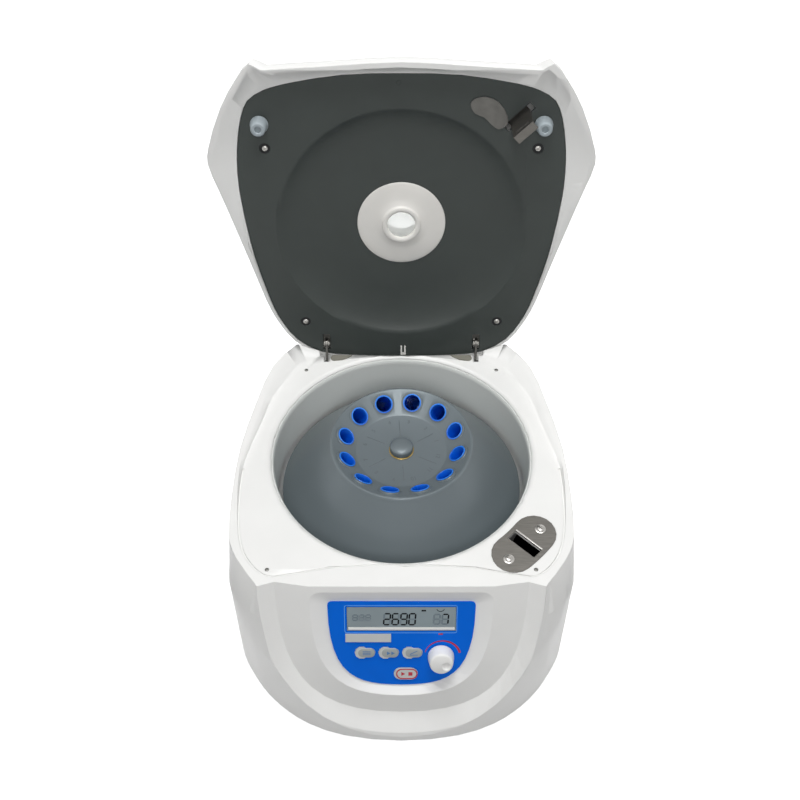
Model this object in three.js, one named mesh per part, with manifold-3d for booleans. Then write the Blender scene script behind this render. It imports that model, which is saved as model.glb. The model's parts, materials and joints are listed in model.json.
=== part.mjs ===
// Benchtop tube centrifuge with a lifting lid, shown with the lid open.
// Lengths are in millimetres. Places are measured from the rotor axis, where it
// crosses the deck: x to the right, y to the back, z up. The lid is drawn closed
// and then swung open about its hinge.
import * as THREE from 'three';
import Module from 'manifold-3d';
import { mergeVertices } from 'three/addons/utils/BufferGeometryUtils.js';

const wasm = await Module();
wasm.setup();

// Fits and stock
const seatGap = 0.3;
const slideGap = 0.4;
const overrun = 6;
const weldGap = 0.001;
const casingWall = 3.5;
const sheet = 2;
const screwRadius = 2.2;

// Body
const bodyHalfWidth = 178;
const bodyFront = 249;
const bodyRear = 190;
const deckHeight = 187;
const footHeight = 10;
const footRadius = 13;
const footSide = 115;
const footFront = 165;
const footBack = 140;
const baseChamfer = 3;
const shoulderDrop = 80;
const shoulderKnee = 35;
const shoulderFront = 203;
const shoulderBack = 158;
const deckReach = 168;
const deckRearEdge = 142.6;
const deckCornerBack = 146.5;
const deckCornerSide = 94;
const rearShelfDrop = 16;
const rimRiseStart = -95;
const rimRise = 15;
const rimWallBend = 70;
const rimWallEnd = 130;
const plateauGroove = 1.5;
const plateauGrooveWidth = 2;
const plateauGrooveEnd = 22;
const deckScrewSide = 134;
const deckScrewFront = 148.6;
const rearScrewSide = 109;
const rearScrewBack = 120;
const chamberOpening = 140.5;
const chamberLip = 5.5;
const fasciaLean = THREE.MathUtils.degToRad(26);
const fasciaWall = 10;
const trayThickness = 3;
const trayPostRadius = 8;

// Control panel, in the plane of the fascia
const panelHalfWidth = 74;
const panelHeight = 100;
const panelDrop = 20;
const panelRecess = 5;
const panelCorner = 5;
const pocketSeat = 1.5;
const pocketCorner = 14;
const pocketMargin = 18;
const pocketTopMargin = 13;
const pocketBottomMargin = 11;
const overlayThickness = 1.2;
const valleyTop = 20;
const valleyMargin = 52;
const valleyFoot = 38;
const valleyDepth = 4.5;
const valleyFootDepth = 8;
const flankMargin = 70;
const flankFoot = 59;
const displayWidth = 109;
const displayHeight = 28;
const displayDrop = 20.5;
const displayDepth = 6;
const labelWidth = 46;
const labelHeight = 9.6;
const labelThickness = 0.8;
const labelDrop = 42.5;
const labelSide = -33.5;
const keyRadius = 7;
const keyCount = 3;
const keyReach = 13.5;
const keyPillHeight = 10.5;
const keyPitch = 24;
const keyDrop = 60.5;
const firstKeySide = -40.3;
const keyProud = 1.2;
const keyThickness = 1.4;
const keyTravel = 1;
const keyStem = 3;
const tactHeight = 2.5;
const startKeyDrop = 86;
const startKeySide = 4.4;
const startKeyLength = 24.2;
const startKeyHeight = 13.9;
const knobSide = 40;
const knobDrop = 64;
const knobRadius = 13.3;
const knobTipRadius = 11.6;
const knobHeight = 15;
const knobDimpleRadius = 8;
const knobDimpleDepth = 1.6;
const knobBore = 10;
const knobRound = 1.2;
const encoderRadius = 3;
const encoderBody = 6.5;
const encoderTravel = 0.8;
const boardStandOff = 5;
const boardThickness = 1.6;
const boardHalfWidth = 62;
const boardDrop = 6;
const boardHeight = 86;
const boardPostInset = 4;
const boardPostRadius = 3;

// Rotor chamber, drive and rotor
const chamberRadius = 137.6;
const chamberDepth = 88;
const chamberWall = 2.2;
const chamberFlange = 147;
const chamberFlangeThickness = 2.5;
const chamberPort = 28;
const chamberCorner = 24;
const chamberFlare = 6;
const chamberEdge = 0.6;
const hubDepth = 35;
const hubRadius = 16;
const taperRadius = 8;
const shoulderRadius = 12;
const shoulderThickness = 5;
const shaftRadius = 6;
const threadRadius = 4;
const threadRise = 6;
const discRadius = 48.6;
const discRise = 3.7;
const rotorRimRadius = 74.6;
const rotorRimRise = 19;
const rotorSkirtRadius = 132;
const rotorSkirtDrop = 58;
const rotorWall = 3;
const discThickness = 4.2;
const tubeHoleLip = 2.2;
const tubeHoleRise = 1.5;
const tubeCount = 12;
const tubePhase = THREE.MathUtils.degToRad(18.7);
const tubeLean = THREE.MathUtils.degToRad(37);
const sleeveRadius = 9.2;
const sleeveWall = 0.7;
const sleeveLength = 92;
const sleeveLip = 0.8;
const sleeveProud = 0.6;
const nutRadius = 12.5;
const nutHeight = 8;
const nutRingRadius = 13.4;
const nutRingThickness = 1;
const motorRadius = 46;
const motorFlange = 50;
const motorHeight = 64;
const motorFlangeThickness = 4;
const motorBoreDepth = 26;
const mountDrop = 101;
const mountThickness = 3;
const mountRadius = 75;
const mountBore = 15;
const damperRadius = 10;
const damperHeight = 18;
const damperCircle = 62;
const damperCount = 3;

// Latch
const latchAzimuth = THREE.MathUtils.degToRad(-43.5);
const latchCircle = 172;
const latchPlateHalfWidth = 22;
const latchPlateArc = THREE.MathUtils.degToRad(5.7);
const latchPlateThickness = 1.2;
const latchPlatePocket = 1.3;
const latchSlotLength = 34;
const latchSlotWidth = 12;
const latchScrewReach = 25;
const strikerWidth = 25;
const strikerThickness = 1.5;
const strikerReach = 30.5;
const strikerFlange = 9;
const strikerSide = -4.5;
const strikerTab = 14;
const strikerWindowWidth = 18;
const strikerWindowHeight = 5;
const strikerWindowRise = 4;
const boltWidth = 16;
const boltThickness = 3.4;
const boltLength = 24;
const boltTravel = 8;
const boltGap = 2;
const solenoidLength = 30;
const solenoidHalfWidth = 14;
const solenoidHeight = 14;

// Lid
const lidOpenAngle = THREE.MathUtils.degToRad(104.3);
const hingeBack = 148.4;
const hingeRise = 14;
const lidHalfWidth = 200.5;
const lidFront = 185;
const lidRear = 170;
const lidCrown = 52;
const lidRimGap = 1.2;
const lidRimWidth = 6;
const lidRimHeight = 9;
const lidLip = 0.6;
const lidLipWidth = 1.5;
const linerRise = 16.1;
const linerHalfWidth = 172;
const linerFront = 168.5;
const linerRear = 166;
const linerThickness = 2.5;
const linerLedge = 3;
const dishRadius = 136;
const dishDepth = 11.5;
const dishBack = 1.5;
const bezelRadius = 48;
const bezelNose = 20.5;
const bezelDrop = 6.2;
const bezelEdge = 0.5;
const bezelBore = 15.3;
const sightRadius = 20;
const sightWall = 3;
const lensThickness = 3;
const bufferSide = 146;
const bufferFront = 115;
const bufferBaseRadius = 9.5;
const bufferTipRadius = 7.5;
const bufferGap = 0.8;
const bufferScrewRecess = 3.2;
const beanLength = 40;
const beanSide = 90;
const beanFront = 128;
const beanThickness = 1.2;
const strikerHoleLength = 36;
const strikerHoleWidth = 8.5;
const strikerHoleFront = -2;
const linerScrewSide = 142;
const linerScrewFront = 89;
const linerScrewRadius = 6;
const linerScrewSeat = 1.4;

// Hinges
const hingeSide = 86;
const hingeSlotWidth = 8;
const hingeSlotFront = 137;
const hingeSlotBack = 157;
const hingeEyeRadius = 4.5;
const hingePinRadius = 2;
const armThickness = 2.5;
const armWidth = 8;
const armNotchFront = 133;
const armNotchSide = 2;
const armFootLength = 33;
const armFootFront = 122;
const armFootToe = 112;
const armFootHeel = 15;
const armFootThickness = 2.5;
const earThickness = 1.5;
const clevisHalfWidth = 9;
const clevisLength = 15.5;
const clevisThickness = 2;
const hingePinProud = 0.5;

// Back of the body
const rearPlateWidth = 136;
const rearPlateHeight = 74;
const rearPlateDrop = 112;
const rearPlateLap = 6;
const flangeThickness = 2.5;
const flangeLap = 3;
const inletWidth = 48;
const inletHeight = 24;
const inletSide = 38;
const inletDepth = 20;
const socketWidth = 25;
const socketHeight = 17;
const socketDepth = 15;
const bladeWidth = 2;
const bladeHeight = 6;
const bladeLength = 9;
const bladePitch = 7;
const switchWidth = 30;
const switchHeight = 22;
const switchSide = -8;
const switchDepth = 14;
const rockerWidth = 20;
const rockerHeight = 12;
const rockerPivotRadius = 2;
const rockerTilt = THREE.MathUtils.degToRad(8);
const rockerDepth = 8;
const fuseSide = -42;
const fuseRadius = 8;
const fuseBodyRadius = 6;
const fuseDepth = 24;
const rearPartDrop = 94;
const ventCount = 9;
const ventPitch = 12;
const ventWidth = 4;
const ventHeight = 26;
const ventDrop = 130;

// Facets on round pieces
const fine = 40;
const medium = 20;
const coarse = 12;
const arcSteps = 5;
const spanSteps = 2;
const facetsPerTube = 3;

const material = (colour, roughness, metalness = 0) =>
  new THREE.MeshStandardMaterial({ color: colour, roughness, metalness });
const whitePlastic = material(0xf4f4f2, 0.35);
const greyLiner = material(0x373c3a, 0.55);
const chamberGrey = material(0xa9aaa6, 0.4);
const rotorGrey = material(0x5f676a, 0.45);
const sleeveBlue = material(0x0055c8, 0.3);
const panelBlue = material(0x0064c8, 0.3);
const displayGrey = material(0x71828a, 0.15);
const steel = material(0x8c8a84, 0.35, 0.9);
const brass = material(0xb59a5c, 0.35, 0.9);
const blackPlastic = material(0x1c1d1e, 0.5);
const rubber = material(0x232425, 0.9);
const buffer = material(0x9fb0bd, 0.6);
const clearPlastic = material(0xdfe6ea, 0.08);
const palePlastic = material(0xc8c6c1, 0.4);
const boardGreen = material(0x1e5b3a, 0.6);

// Closed outlines: the right half, front to back, as shares of the half width
// and of the reach in front of and behind the rotor axis
const bodyUpperShares = [
  [0, -0.984], [0.337, -0.948], [0.584, -0.851], [0.708, -0.775], [0.778, -0.707], [0.808, -0.667],
  [0.857, -0.62], [0.907, -0.568], [0.955, -0.51], [0.988, -0.434], [0.997, -0.241], [0.975, 0.01],
  [0.902, 0.337], [0.82, 0.6], [0.68, 0.768], [0.4, 0.953], [0, 0.984],
];
const bodyLowerShares = [
  [0, -1], [0.341, -0.976], [0.552, -0.924], [0.677, -0.869], [0.767, -0.815], [0.839, -0.759],
  [0.895, -0.701], [0.951, -0.635], [0.989, -0.568], [1, -0.482], [1, -0.241], [0.994, 0],
  [0.955, 0.326], [0.888, 0.621], [0.73, 0.858], [0.4, 0.987], [0, 1],
];
const lidShares = [
  [0, -1], [0.349, -0.978], [0.64, -0.959], [0.695, -0.957], [0.748, -0.989], [0.823, -0.897],
  [0.913, -0.735], [0.989, -0.513], [1, -0.42], [0.958, -0.259], [0.922, -0.132], [0.886, 0],
  [0.832, 0.219], [0.777, 0.449], [0.735, 0.606], [0.686, 0.729], [0.614, 0.856], [0.489, 0.956],
  [0.3, 0.989], [0, 1],
];
const linerShares = [
  [0, -1], [0.349, -0.99], [0.628, -0.947], [0.721, -0.926], [0.814, -0.896], [0.91, -0.831],
  [0.956, -0.724], [0.985, -0.576], [0.998, -0.451], [1, -0.285], [0.988, -0.131], [0.973, 0],
  [0.938, 0.223], [0.881, 0.46], [0.835, 0.62], [0.783, 0.738], [0.698, 0.864], [0.549, 0.964],
  [0.337, 0.993], [0, 1],
];
const plateauShares = [
  [0, -0.857], [0.41, -0.875], [0.718, -0.938], [0.787, -0.914], [0.848, -0.854], [0.899, -0.768],
  [0.935, -0.637], [0.955, -0.417], [0.955, -0.149], [0.919, 0.042], [0.86, 0.242], [0.812, 0.42],
  [0.744, 0.541], [0.676, 0.66], [0.616, 0.704], [0.55, 0.737], [0.517, 0.752], [0.42, 0.79], [0, 0.79],
];
const beanShares = [
  [-0.5, -0.22], [-0.41, -0.36], [-0.12, -0.42], [0.22, -0.28], [0.46, 0.1], [0.45, 0.32],
  [0.24, 0.44], [0.04, 0.3], [-0.14, 0.12], [-0.38, 0.02],
];

// The lid's domed outside, as shares of its outline and of the climb from rim to crown,
// and the hollow under it, as shares of the outline and of the crown
const crownShares = [[0.99, 0.33], [0.955, 0.61], [0.9, 0.8], [0.76, 0.92], [0.35, 1]];
const vaultShares = [[0.965, 0.42], [0.93, 0.62], [0.82, 0.82], [0.4, 0.925]];

// The dished middle of the liner, from its edge inwards: shares of its radius and depth
const dishShares = [
  [1, 0], [0.963, 0.26], [0.897, 0.565], [0.794, 0.826], [0.625, 0.974], [0.368, 1],
];

// How full the curves on the fascia are, down their sides and along their foot: the panel,
// the edge of the shield it lies in, the bottom of the valley round that, and its outer edge
const panelShares = [0.92, 0.6];
const shieldShares = [0.72, 0.76];
const valleyShares = [0.56, 0.84];
const flankShares = [0.76, 0.56];

// How far the wall inside the rim leans out for each step up, along the sides and at the back
const rimWallShares = [0.45, 1.1];

// Turns a geometry into a solid that can be joined and cut
function solid(geometry) {
  const bare = geometry.clone();
  bare.deleteAttribute('normal');
  bare.deleteAttribute('uv');
  const welded = mergeVertices(bare, weldGap);
  const index = welded.index.array;
  const triangles = [];
  for (let i = 0; i < index.length; i += 3) {
    const [a, b, c] = index.slice(i, i + 3);
    if (a !== b && b !== c && c !== a) triangles.push(a, b, c);
  }
  return new wasm.Manifold(new wasm.Mesh({
    numProp: 3,
    vertProperties: Float32Array.from(welded.attributes.position.array),
    triVerts: Uint32Array.from(triangles),
  }));
}

function shell(manifold) {
  const mesh = manifold.getMesh();
  const geometry = new THREE.BufferGeometry();
  geometry.setAttribute('position', new THREE.BufferAttribute(mesh.vertProperties, 3));
  geometry.setIndex(new THREE.BufferAttribute(mesh.triVerts, 1));
  return geometry;
}

function joined(first, ...rest) {
  return rest.reduce((whole, piece) => whole.add(piece), first);
}

function cut(first, ...tools) {
  return tools.reduce((whole, tool) => whole.subtract(tool), first);
}

// A block between two corners
function block(x0, x1, y0, y1, z0, z1) {
  const geometry = new THREE.BoxGeometry(x1 - x0, y1 - y0, z1 - z0);
  return geometry.translate((x0 + x1) / 2, (y0 + y1) / 2, (z0 + z1) / 2);
}

// An upright cylinder or cone between two heights
function post(lowRadius, highRadius, x, y, z0, z1, facets) {
  const geometry = new THREE.CylinderGeometry(highRadius, lowRadius, z1 - z0, facets);
  return geometry.rotateX(Math.PI / 2).translate(x, y, (z0 + z1) / 2);
}

// A profile of radius and height turned about the z axis; the profile closes on itself
function turned(profile, facets) {
  const points = profile.map(([radius, height]) => new THREE.Vector2(radius, height));
  if (THREE.ShapeUtils.area(points) < 0) points.reverse();
  if (points[0].x > 0 || points.at(-1).x > 0) points.push(points[0].clone());
  return new THREE.LatheGeometry(points, facets).rotateX(Math.PI / 2);
}

function slab(shape, z0, z1, steps = arcSteps) {
  const options = { depth: z1 - z0, bevelEnabled: false, curveSegments: steps };
  return new THREE.ExtrudeGeometry(shape, options).translate(0, 0, z0);
}

// A flat plate with an outline of points
function plate(points, z0, z1) {
  return slab(new THREE.Shape(points.map(([x, y]) => new THREE.Vector2(x, y))), z0, z1);
}

// A rod that lies across x
function rod(radius, x0, x1, y, z, facets) {
  const geometry = new THREE.CylinderGeometry(radius, radius, x1 - x0, facets);
  return geometry.rotateZ(Math.PI / 2).translate((x0 + x1) / 2, y, z);
}

// A flat outline with half-round ends
function pill(length, height, side = 0) {
  const end = (length - height) / 2;
  const shape = new THREE.Shape();
  shape.absarc(side + end, 0, height / 2, -Math.PI / 2, Math.PI / 2, false);
  shape.absarc(side - end, 0, height / 2, Math.PI / 2, Math.PI * 1.5, false);
  return shape;
}

// Turns a slab drawn as (y, z) into one that stands across x
function acrossX(geometry) {
  const upright = new THREE.Matrix4().makeBasis(
    new THREE.Vector3(0, 1, 0), new THREE.Vector3(0, 0, 1), new THREE.Vector3(1, 0, 0));
  return geometry.applyMatrix4(upright);
}

function smoothLoop(points, steps) {
  const knots = points.map(([x, y]) => new THREE.Vector3(x, y, 0));
  const curve = new THREE.CatmullRomCurve3(knots, true, 'centripetal');
  const count = points.length * steps;
  return Array.from({ length: count }, (_, i) => {
    const point = curve.getPoint(i / count);
    return new THREE.Vector2(point.x, point.y);
  });
}

function outline(shares, halfWidth, front, rear) {
  const right = shares.map(([x, y]) => [x * halfWidth, y * (y < 0 ? front : rear)]);
  const left = right.slice(1, -1).reverse().map(([x, y]) => [-x, y]);
  return smoothLoop([...right, ...left], spanSteps);
}

// Moves an outline inwards by a distance, which can change from front to back
function inset(points, distance) {
  const at = typeof distance === 'function' ? distance : () => distance;
  return points.map((point, i) => {
    const before = points[(i + points.length - 1) % points.length];
    const after = points[(i + 1) % points.length];
    const along = after.clone().sub(before).normalize();
    const shift = at(point.y);
    return new THREE.Vector2(point.x - along.y * shift, point.y + along.x * shift);
  });
}

function scaled(points, share) {
  return points.map((point) => point.clone().multiplyScalar(share));
}

// Lifts an outline to a height, which can change from front to back
function ring(points, height) {
  const level = typeof height === 'function' ? height : () => height;
  return points.map((point) => new THREE.Vector3(point.x, point.y, level(point.y)));
}

// A closed skin through a stack of rings with as many points each, from low to high
function loft(rings) {
  const count = rings[0].length;
  const positions = rings.flat().flatMap((point) => [point.x, point.y, point.z]);
  const indices = [];
  for (let level = 0; level + 1 < rings.length; level += 1) {
    for (let i = 0; i < count; i += 1) {
      const a = level * count + i;
      const b = level * count + ((i + 1) % count);
      indices.push(a, b, b + count, a, b + count, a + count);
    }
  }
  const cap = (points, offset, upward) => {
    const flat = points.map((point) => new THREE.Vector2(point.x, point.y));
    for (const [a, b, c] of THREE.ShapeUtils.triangulateShape(flat, [])) {
      indices.push(offset + a, offset + (upward ? b : c), offset + (upward ? c : b));
    }
  };
  cap(rings[0], 0, false);
  cap(rings.at(-1), (rings.length - 1) * count, true);
  const geometry = new THREE.BufferGeometry();
  geometry.setAttribute('position', new THREE.Float32BufferAttribute(positions, 3));
  geometry.setIndex(indices);
  return geometry;
}

// A closed skin through rings of as many points each, the last joined to the first
function loop(rings) {
  const count = rings[0].length;
  const positions = rings.flat().flatMap((point) => [point.x, point.y, point.z]);
  const indices = [];
  rings.forEach((_, level) => {
    const next = ((level + 1) % rings.length) * count;
    for (let i = 0; i < count; i += 1) {
      const a = level * count + i;
      const b = level * count + ((i + 1) % count);
      const c = next + ((i + 1) % count);
      const d = next + i;
      indices.push(a, c, b, a, d, c);
    }
  });
  const geometry = new THREE.BufferGeometry();
  geometry.setAttribute('position', new THREE.Float32BufferAttribute(positions, 3));
  geometry.setIndex(indices);
  return geometry;
}

// Frames that pieces are drawn in. On the fascia y runs up from its foot to the crease
// and z out of it; at the latch x points away from the rotor axis
function fasciaFrame() {
  const frame = new THREE.Group();
  frame.position.set(0, -deckReach, 0);
  frame.rotation.x = Math.PI / 2 - fasciaLean;
  return frame;
}

function latchFrame() {
  const frame = new THREE.Group();
  frame.position.set(latchCircle * Math.cos(latchAzimuth), latchCircle * Math.sin(latchAzimuth), 0);
  frame.rotation.z = latchAzimuth;
  return frame;
}

// A tube hole lies midway along the cone between the disc and the rim
const tubeCircle = (discRadius + rotorRimRadius) / 2;
const tubeRise = (discRise + rotorRimRise) / 2;

function tubeFrame(index) {
  const azimuth = tubePhase + (index * Math.PI * 2) / tubeCount;
  const frame = new THREE.Group();
  frame.position.set(tubeCircle * Math.cos(azimuth), tubeCircle * Math.sin(azimuth), tubeRise);
  frame.rotation.set(0, -tubeLean, azimuth, 'ZYX');
  return frame;
}

function inFrame(frame, geometry) {
  frame.updateMatrix();
  return geometry.applyMatrix4(frame.matrix);
}

const bodyUpper = outline(bodyUpperShares, bodyHalfWidth, bodyFront, bodyRear);
const bodyLower = outline(bodyLowerShares, bodyHalfWidth, bodyFront, bodyRear);
const plateau = outline(plateauShares, bodyHalfWidth, deckReach, bodyRear);
const lidOutline = outline(lidShares, lidHalfWidth, lidFront, lidRear);
const linerOutline = outline(linerShares, linerHalfWidth, linerFront, linerRear);

// The side of the body bulges to its full width a little below the rim, less so at the front
const bodyShoulder = bodyUpper.map((point, i) => {
  const bulge = THREE.MathUtils.smoothstep(bodyLower[i].y, -shoulderFront, -shoulderBack);
  const share = THREE.MathUtils.lerp(shoulderKnee / shoulderDrop, 1, bulge);
  return point.clone().lerp(bodyLower[i], share);
});

const casingFoot = footHeight - deckHeight;
const overlayFace = seatGap + overlayThickness - panelRecess;
const keyFace = overlayFace + keyProud;
const knobSeat = overlayFace + encoderTravel + seatGap;
const boardFront = -fasciaWall - boardStandOff;
const shaftEnd = discRise + seatGap + nutRingThickness + seatGap + threadRise;
const foldDrop = linerRise - strikerReach;
const boltDrop = foldDrop + strikerWindowRise + strikerWindowHeight / 2;
const linerTop = linerRise + linerThickness;
const lidSeat = linerTop + seatGap;
const rearPlateTop = rearPlateHeight / 2 - rearPlateDrop;
const rearPlateFoot = -rearPlateHeight / 2 - rearPlateDrop;

// The rim of the body climbs towards the hinge, and the rim of the lid follows it
const rimSlope = rimRise / (hingeBack - rimRiseStart);
const rimHeight = (y) => Math.max(0, (y - rimRiseStart) * rimSlope);
const lidRimHeightAt = (y) => rimHeight(y) + lidRimGap;
const rimWallLean = (y) => {
  const back = THREE.MathUtils.smoothstep(y, rimWallBend, rimWallEnd);
  return THREE.MathUtils.lerp(...rimWallShares, back);
};

// How far back the fascia lies at a height, sunk below its face by a depth
const fasciaBack = (z, depth) =>
  z * Math.tan(fasciaLean) + depth / Math.cos(fasciaLean) - deckReach;

// How far back the inside of the rear wall lies at a place across it
function rearWallAt(x, z) {
  const backAt = (points) => {
    const beyond = points.filter((point) => point.y > 0 && point.x >= x);
    return Math.max(...beyond.map((point) => point.y));
  };
  const share = Math.max(0, 1 + z / shoulderDrop);
  return THREE.MathUtils.lerp(backAt(bodyLower), backAt(bodyUpper), share) - casingWall;
}

// The outside of the body from its widest part up to the deck, moved inwards by a distance
function bodyRings(distance) {
  return [
    ring(inset(bodyLower, distance), -shoulderDrop),
    ring(inset(bodyShoulder, distance), -shoulderKnee),
    ring(inset(bodyUpper, distance), 0),
  ];
}

// Shield on the fascia: straight sides down to the top of the panel, then a round foot
function shieldShape(halfWidth, high, low, [side, foot], corner = panelCorner) {
  const waist = -panelDrop - (-panelDrop - low) * side;
  const shape = new THREE.Shape();
  shape.moveTo(-halfWidth + corner, high);
  shape.lineTo(halfWidth - corner, high);
  shape.quadraticCurveTo(halfWidth, high, halfWidth, high - corner);
  shape.bezierCurveTo(halfWidth, waist, halfWidth * foot, low, 0, low);
  shape.bezierCurveTo(-halfWidth * foot, low, -halfWidth, waist, -halfWidth, high - corner);
  shape.quadraticCurveTo(-halfWidth, high, -halfWidth + corner, high);
  return shape;
}

const panelFoot = -panelDrop - panelHeight;
const panelShape = (grow) => shieldShape(
  panelHalfWidth + grow, grow - panelDrop, panelFoot - grow, panelShares, panelCorner + grow);
const shapeRing = (shape, height) => ring(shape.getPoints(coarse).slice(0, -1).reverse(), height);

// The dished seat of the panel, which slopes down to it from the edge of the shield
function pocketCutter() {
  const edge = shieldShape(
    panelHalfWidth + pocketMargin, pocketTopMargin - panelDrop,
    panelFoot - pocketBottomMargin, shieldShares, pocketCorner);
  return loft([
    shapeRing(panelShape(pocketSeat), -panelRecess), shapeRing(edge, 0), shapeRing(edge, overrun),
  ]);
}

// The valley round the shield: its inner edge, its bottom line and its outer edge. It gets
// deeper towards its foot
function valleyCutter() {
  const edge = (margin, foot, shares, height) => shapeRing(
    shieldShape(panelHalfWidth + margin, valleyTop, panelFoot - foot, shares), height);
  const inner = [pocketMargin, pocketBottomMargin, shieldShares];
  const outer = [flankMargin, flankFoot, flankShares];
  const depth = (y) => {
    const share = THREE.MathUtils.clamp(y / panelFoot, 0, 1);
    return -THREE.MathUtils.lerp(valleyDepth, valleyFootDepth, share);
  };
  return loop([
    edge(...outer, overrun), edge(...outer, 0), edge(valleyMargin, valleyFoot, valleyShares, depth),
    edge(...inner, 0), edge(...inner, overrun),
  ]);
}

// Outlines of what sits in the panel, grown by a gap
function keyShape(gap) {
  const disc = new THREE.Shape().absarc(0, 0, keyRadius + gap, 0, Math.PI * 2, false);
  const length = keyReach + keyPillHeight / 2 + gap * 2;
  const tab = pill(length, keyPillHeight + gap * 2, keyReach / 2 - keyPillHeight / 4);
  return [disc, tab];
}

const startKeyShape = (gap) => [pill(startKeyLength + gap * 2, startKeyHeight + gap * 2)];

function keyPlaces() {
  const drop = -panelDrop - keyDrop;
  const places = Array.from({ length: keyCount }, (_, i) =>
    ({ x: firstKeySide + i * keyPitch, y: drop, shapes: keyShape }));
  places.push({ x: startKeySide, y: -panelDrop - startKeyDrop, shapes: startKeyShape });
  return places;
}

// Every piece from here on is drawn by a function of its own
function upperHousing() {
  const highest = rimRise + overrun;
  const sky = highest + overrun;
  const skin = solid(loft([
    ring(inset(bodyLower, baseChamfer), casingFoot), ring(bodyLower, casingFoot + baseChamfer),
    ...bodyRings(0), ring(bodyUpper, highest),
  ]));
  const front = block(-bodyHalfWidth, bodyHalfWidth, -bodyFront, bodyFront, 0, bodyFront);
  const frame = fasciaFrame();
  const onFascia = (geometry) => solid(inFrame(frame, geometry));
  const bored = cut(
    skin,
    ...deckCutters(sky),
    onFascia(front),
    onFascia(valleyCutter()),
    onFascia(pocketCutter()),
    cavity(0),
    chamberCutter(sky),
    ...deckOpenings(),
    ...panelOpenings(-fasciaWall - overrun, 0, slideGap).map(onFascia),
    rearOpening(),
  );
  return shell(joined(bored, ...boardPosts().map(onFascia)));
}

// What shapes the top: the climbing rim and the shelf behind it, the deck sunk inside the
// rim with a leaning wall round its rear corners, and the groove round the front of the deck
function deckCutters(sky) {
  const wide = bodyHalfWidth + overrun;
  const topLine = [
    [-bodyFront - overrun, 0], [rimRiseStart, 0], [deckCornerBack, rimHeight(deckCornerBack)],
    [deckCornerBack, -rearShelfDrop], [bodyRear + overrun, -rearShelfDrop],
    [bodyRear + overrun, sky], [-bodyFront - overrun, sky],
  ];
  const wallTop = (y) => rimHeight(y) + overrun;
  const wall = inset(plateau, (y) => -wallTop(y) * rimWallLean(y));
  const groove = solid(plate(plateau, -plateauGroove, overrun)).subtract(
    solid(plate(inset(plateau, plateauGrooveWidth), -overrun, sky)));
  return [
    solid(acrossX(plate(topLine, -wide, wide))),
    solid(block(
      -deckCornerSide, deckCornerSide, deckRearEdge, bodyRear + overrun, -rearShelfDrop, sky)),
    solid(loft([ring(plateau, 0), ring(wall, wallTop)])),
    groove.intersect(solid(block(-wide, wide, -bodyFront, -plateauGrooveEnd, -overrun, sky))),
  ];
}

// The round opening over the chamber, with a rolled lip
function chamberCutter(sky) {
  const lip = Array.from({ length: arcSteps + 1 }, (_, i) => {
    const angle = (i / arcSteps) * (Math.PI / 2);
    return [
      chamberOpening + chamberLip * (1 - Math.cos(angle)), casingWall * (Math.sin(angle) - 1)];
  });
  return solid(turned([
    [0, -rearShelfDrop * 2], [chamberOpening, -rearShelfDrop * 2], ...lip,
    [chamberOpening + chamberLip, sky], [0, sky],
  ], fine));
}

// The room inside the body, open below: behind the fascia, under the deck and the rear shelf
function cavity(clearance) {
  const wall = casingWall + clearance;
  const low = casingFoot - overrun;
  const skin = solid(loft([ring(inset(bodyLower, wall), low), ...bodyRings(wall)]));
  const depth = fasciaWall + clearance;
  const step = deckRearEdge - wall;
  const shelf = -rearShelfDrop - wall;
  const section = [
    [fasciaBack(low, depth) - overrun * Math.tan(fasciaLean), low - overrun],
    [fasciaBack(-wall, depth), -wall], [step, -wall], [step, shelf],
    [bodyRear, shelf], [bodyRear, low - overrun],
  ];
  return skin.intersect(solid(acrossX(plate(section, -bodyHalfWidth, bodyHalfWidth))));
}

// Screw holes, hinge notches, and the seat and slot of the latch
function deckOpenings() {
  const holes = deckScrews().map(([x, y]) =>
    solid(post(screwRadius, screwRadius, x, y, -casingWall - overrun, overrun, coarse)));
  const notches = [-1, 1].map((side) => {
    const middle = side * hingeSide;
    const half = armThickness / 2 + armNotchSide;
    return solid(block(
      middle - half, middle + half, armNotchFront, deckRearEdge + overrun,
      -casingWall - armFootThickness - seatGap * 2, overrun));
  });
  const frame = latchFrame();
  const seat = slab(latchShape(seatGap), -latchPlatePocket, overrun);
  return [...holes, ...notches, solid(inFrame(frame, seat)), latchSlot(), ...latchScrewHoles()];
}

function deckScrews() {
  return [-1, 1].flatMap((side) =>
    [[side * deckScrewSide, -deckScrewFront], [side * rearScrewSide, rearScrewBack]]);
}

function latchSlot() {
  const slot = block(
    -latchSlotLength / 2, latchSlotLength / 2, -latchSlotWidth / 2, latchSlotWidth / 2,
    -casingWall - overrun, overrun);
  return solid(inFrame(latchFrame(), slot));
}

function latchScrewHoles() {
  return [-1, 1].map((side) => solid(inFrame(latchFrame(), post(
    screwRadius, screwRadius, 0, side * latchScrewReach, -casingWall - overrun, overrun, coarse))));
}

// What passes through the fascia behind the panel
function panelOpenings(low, high, gap) {
  const middle = -panelDrop - displayDrop;
  const display = block(
    -displayWidth / 2 - gap, displayWidth / 2 + gap,
    middle - displayHeight / 2 - gap, middle + displayHeight / 2 + gap, low, high);
  const hole = keyStem + gap;
  const stems = keyPlaces().map(({ x, y }) => post(hole, hole, x, y, low, high, coarse));
  const shaft = post(
    encoderRadius + gap, encoderRadius + gap, knobSide, -panelDrop - knobDrop, low, high, coarse);
  return [display, ...stems, shaft];
}

function rearOpening() {
  const half = rearPlateWidth / 2 - rearPlateLap;
  return solid(block(
    -half, half, bodyRear / 2, bodyRear + overrun,
    rearPlateFoot + rearPlateLap, rearPlateTop - rearPlateLap));
}

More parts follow.
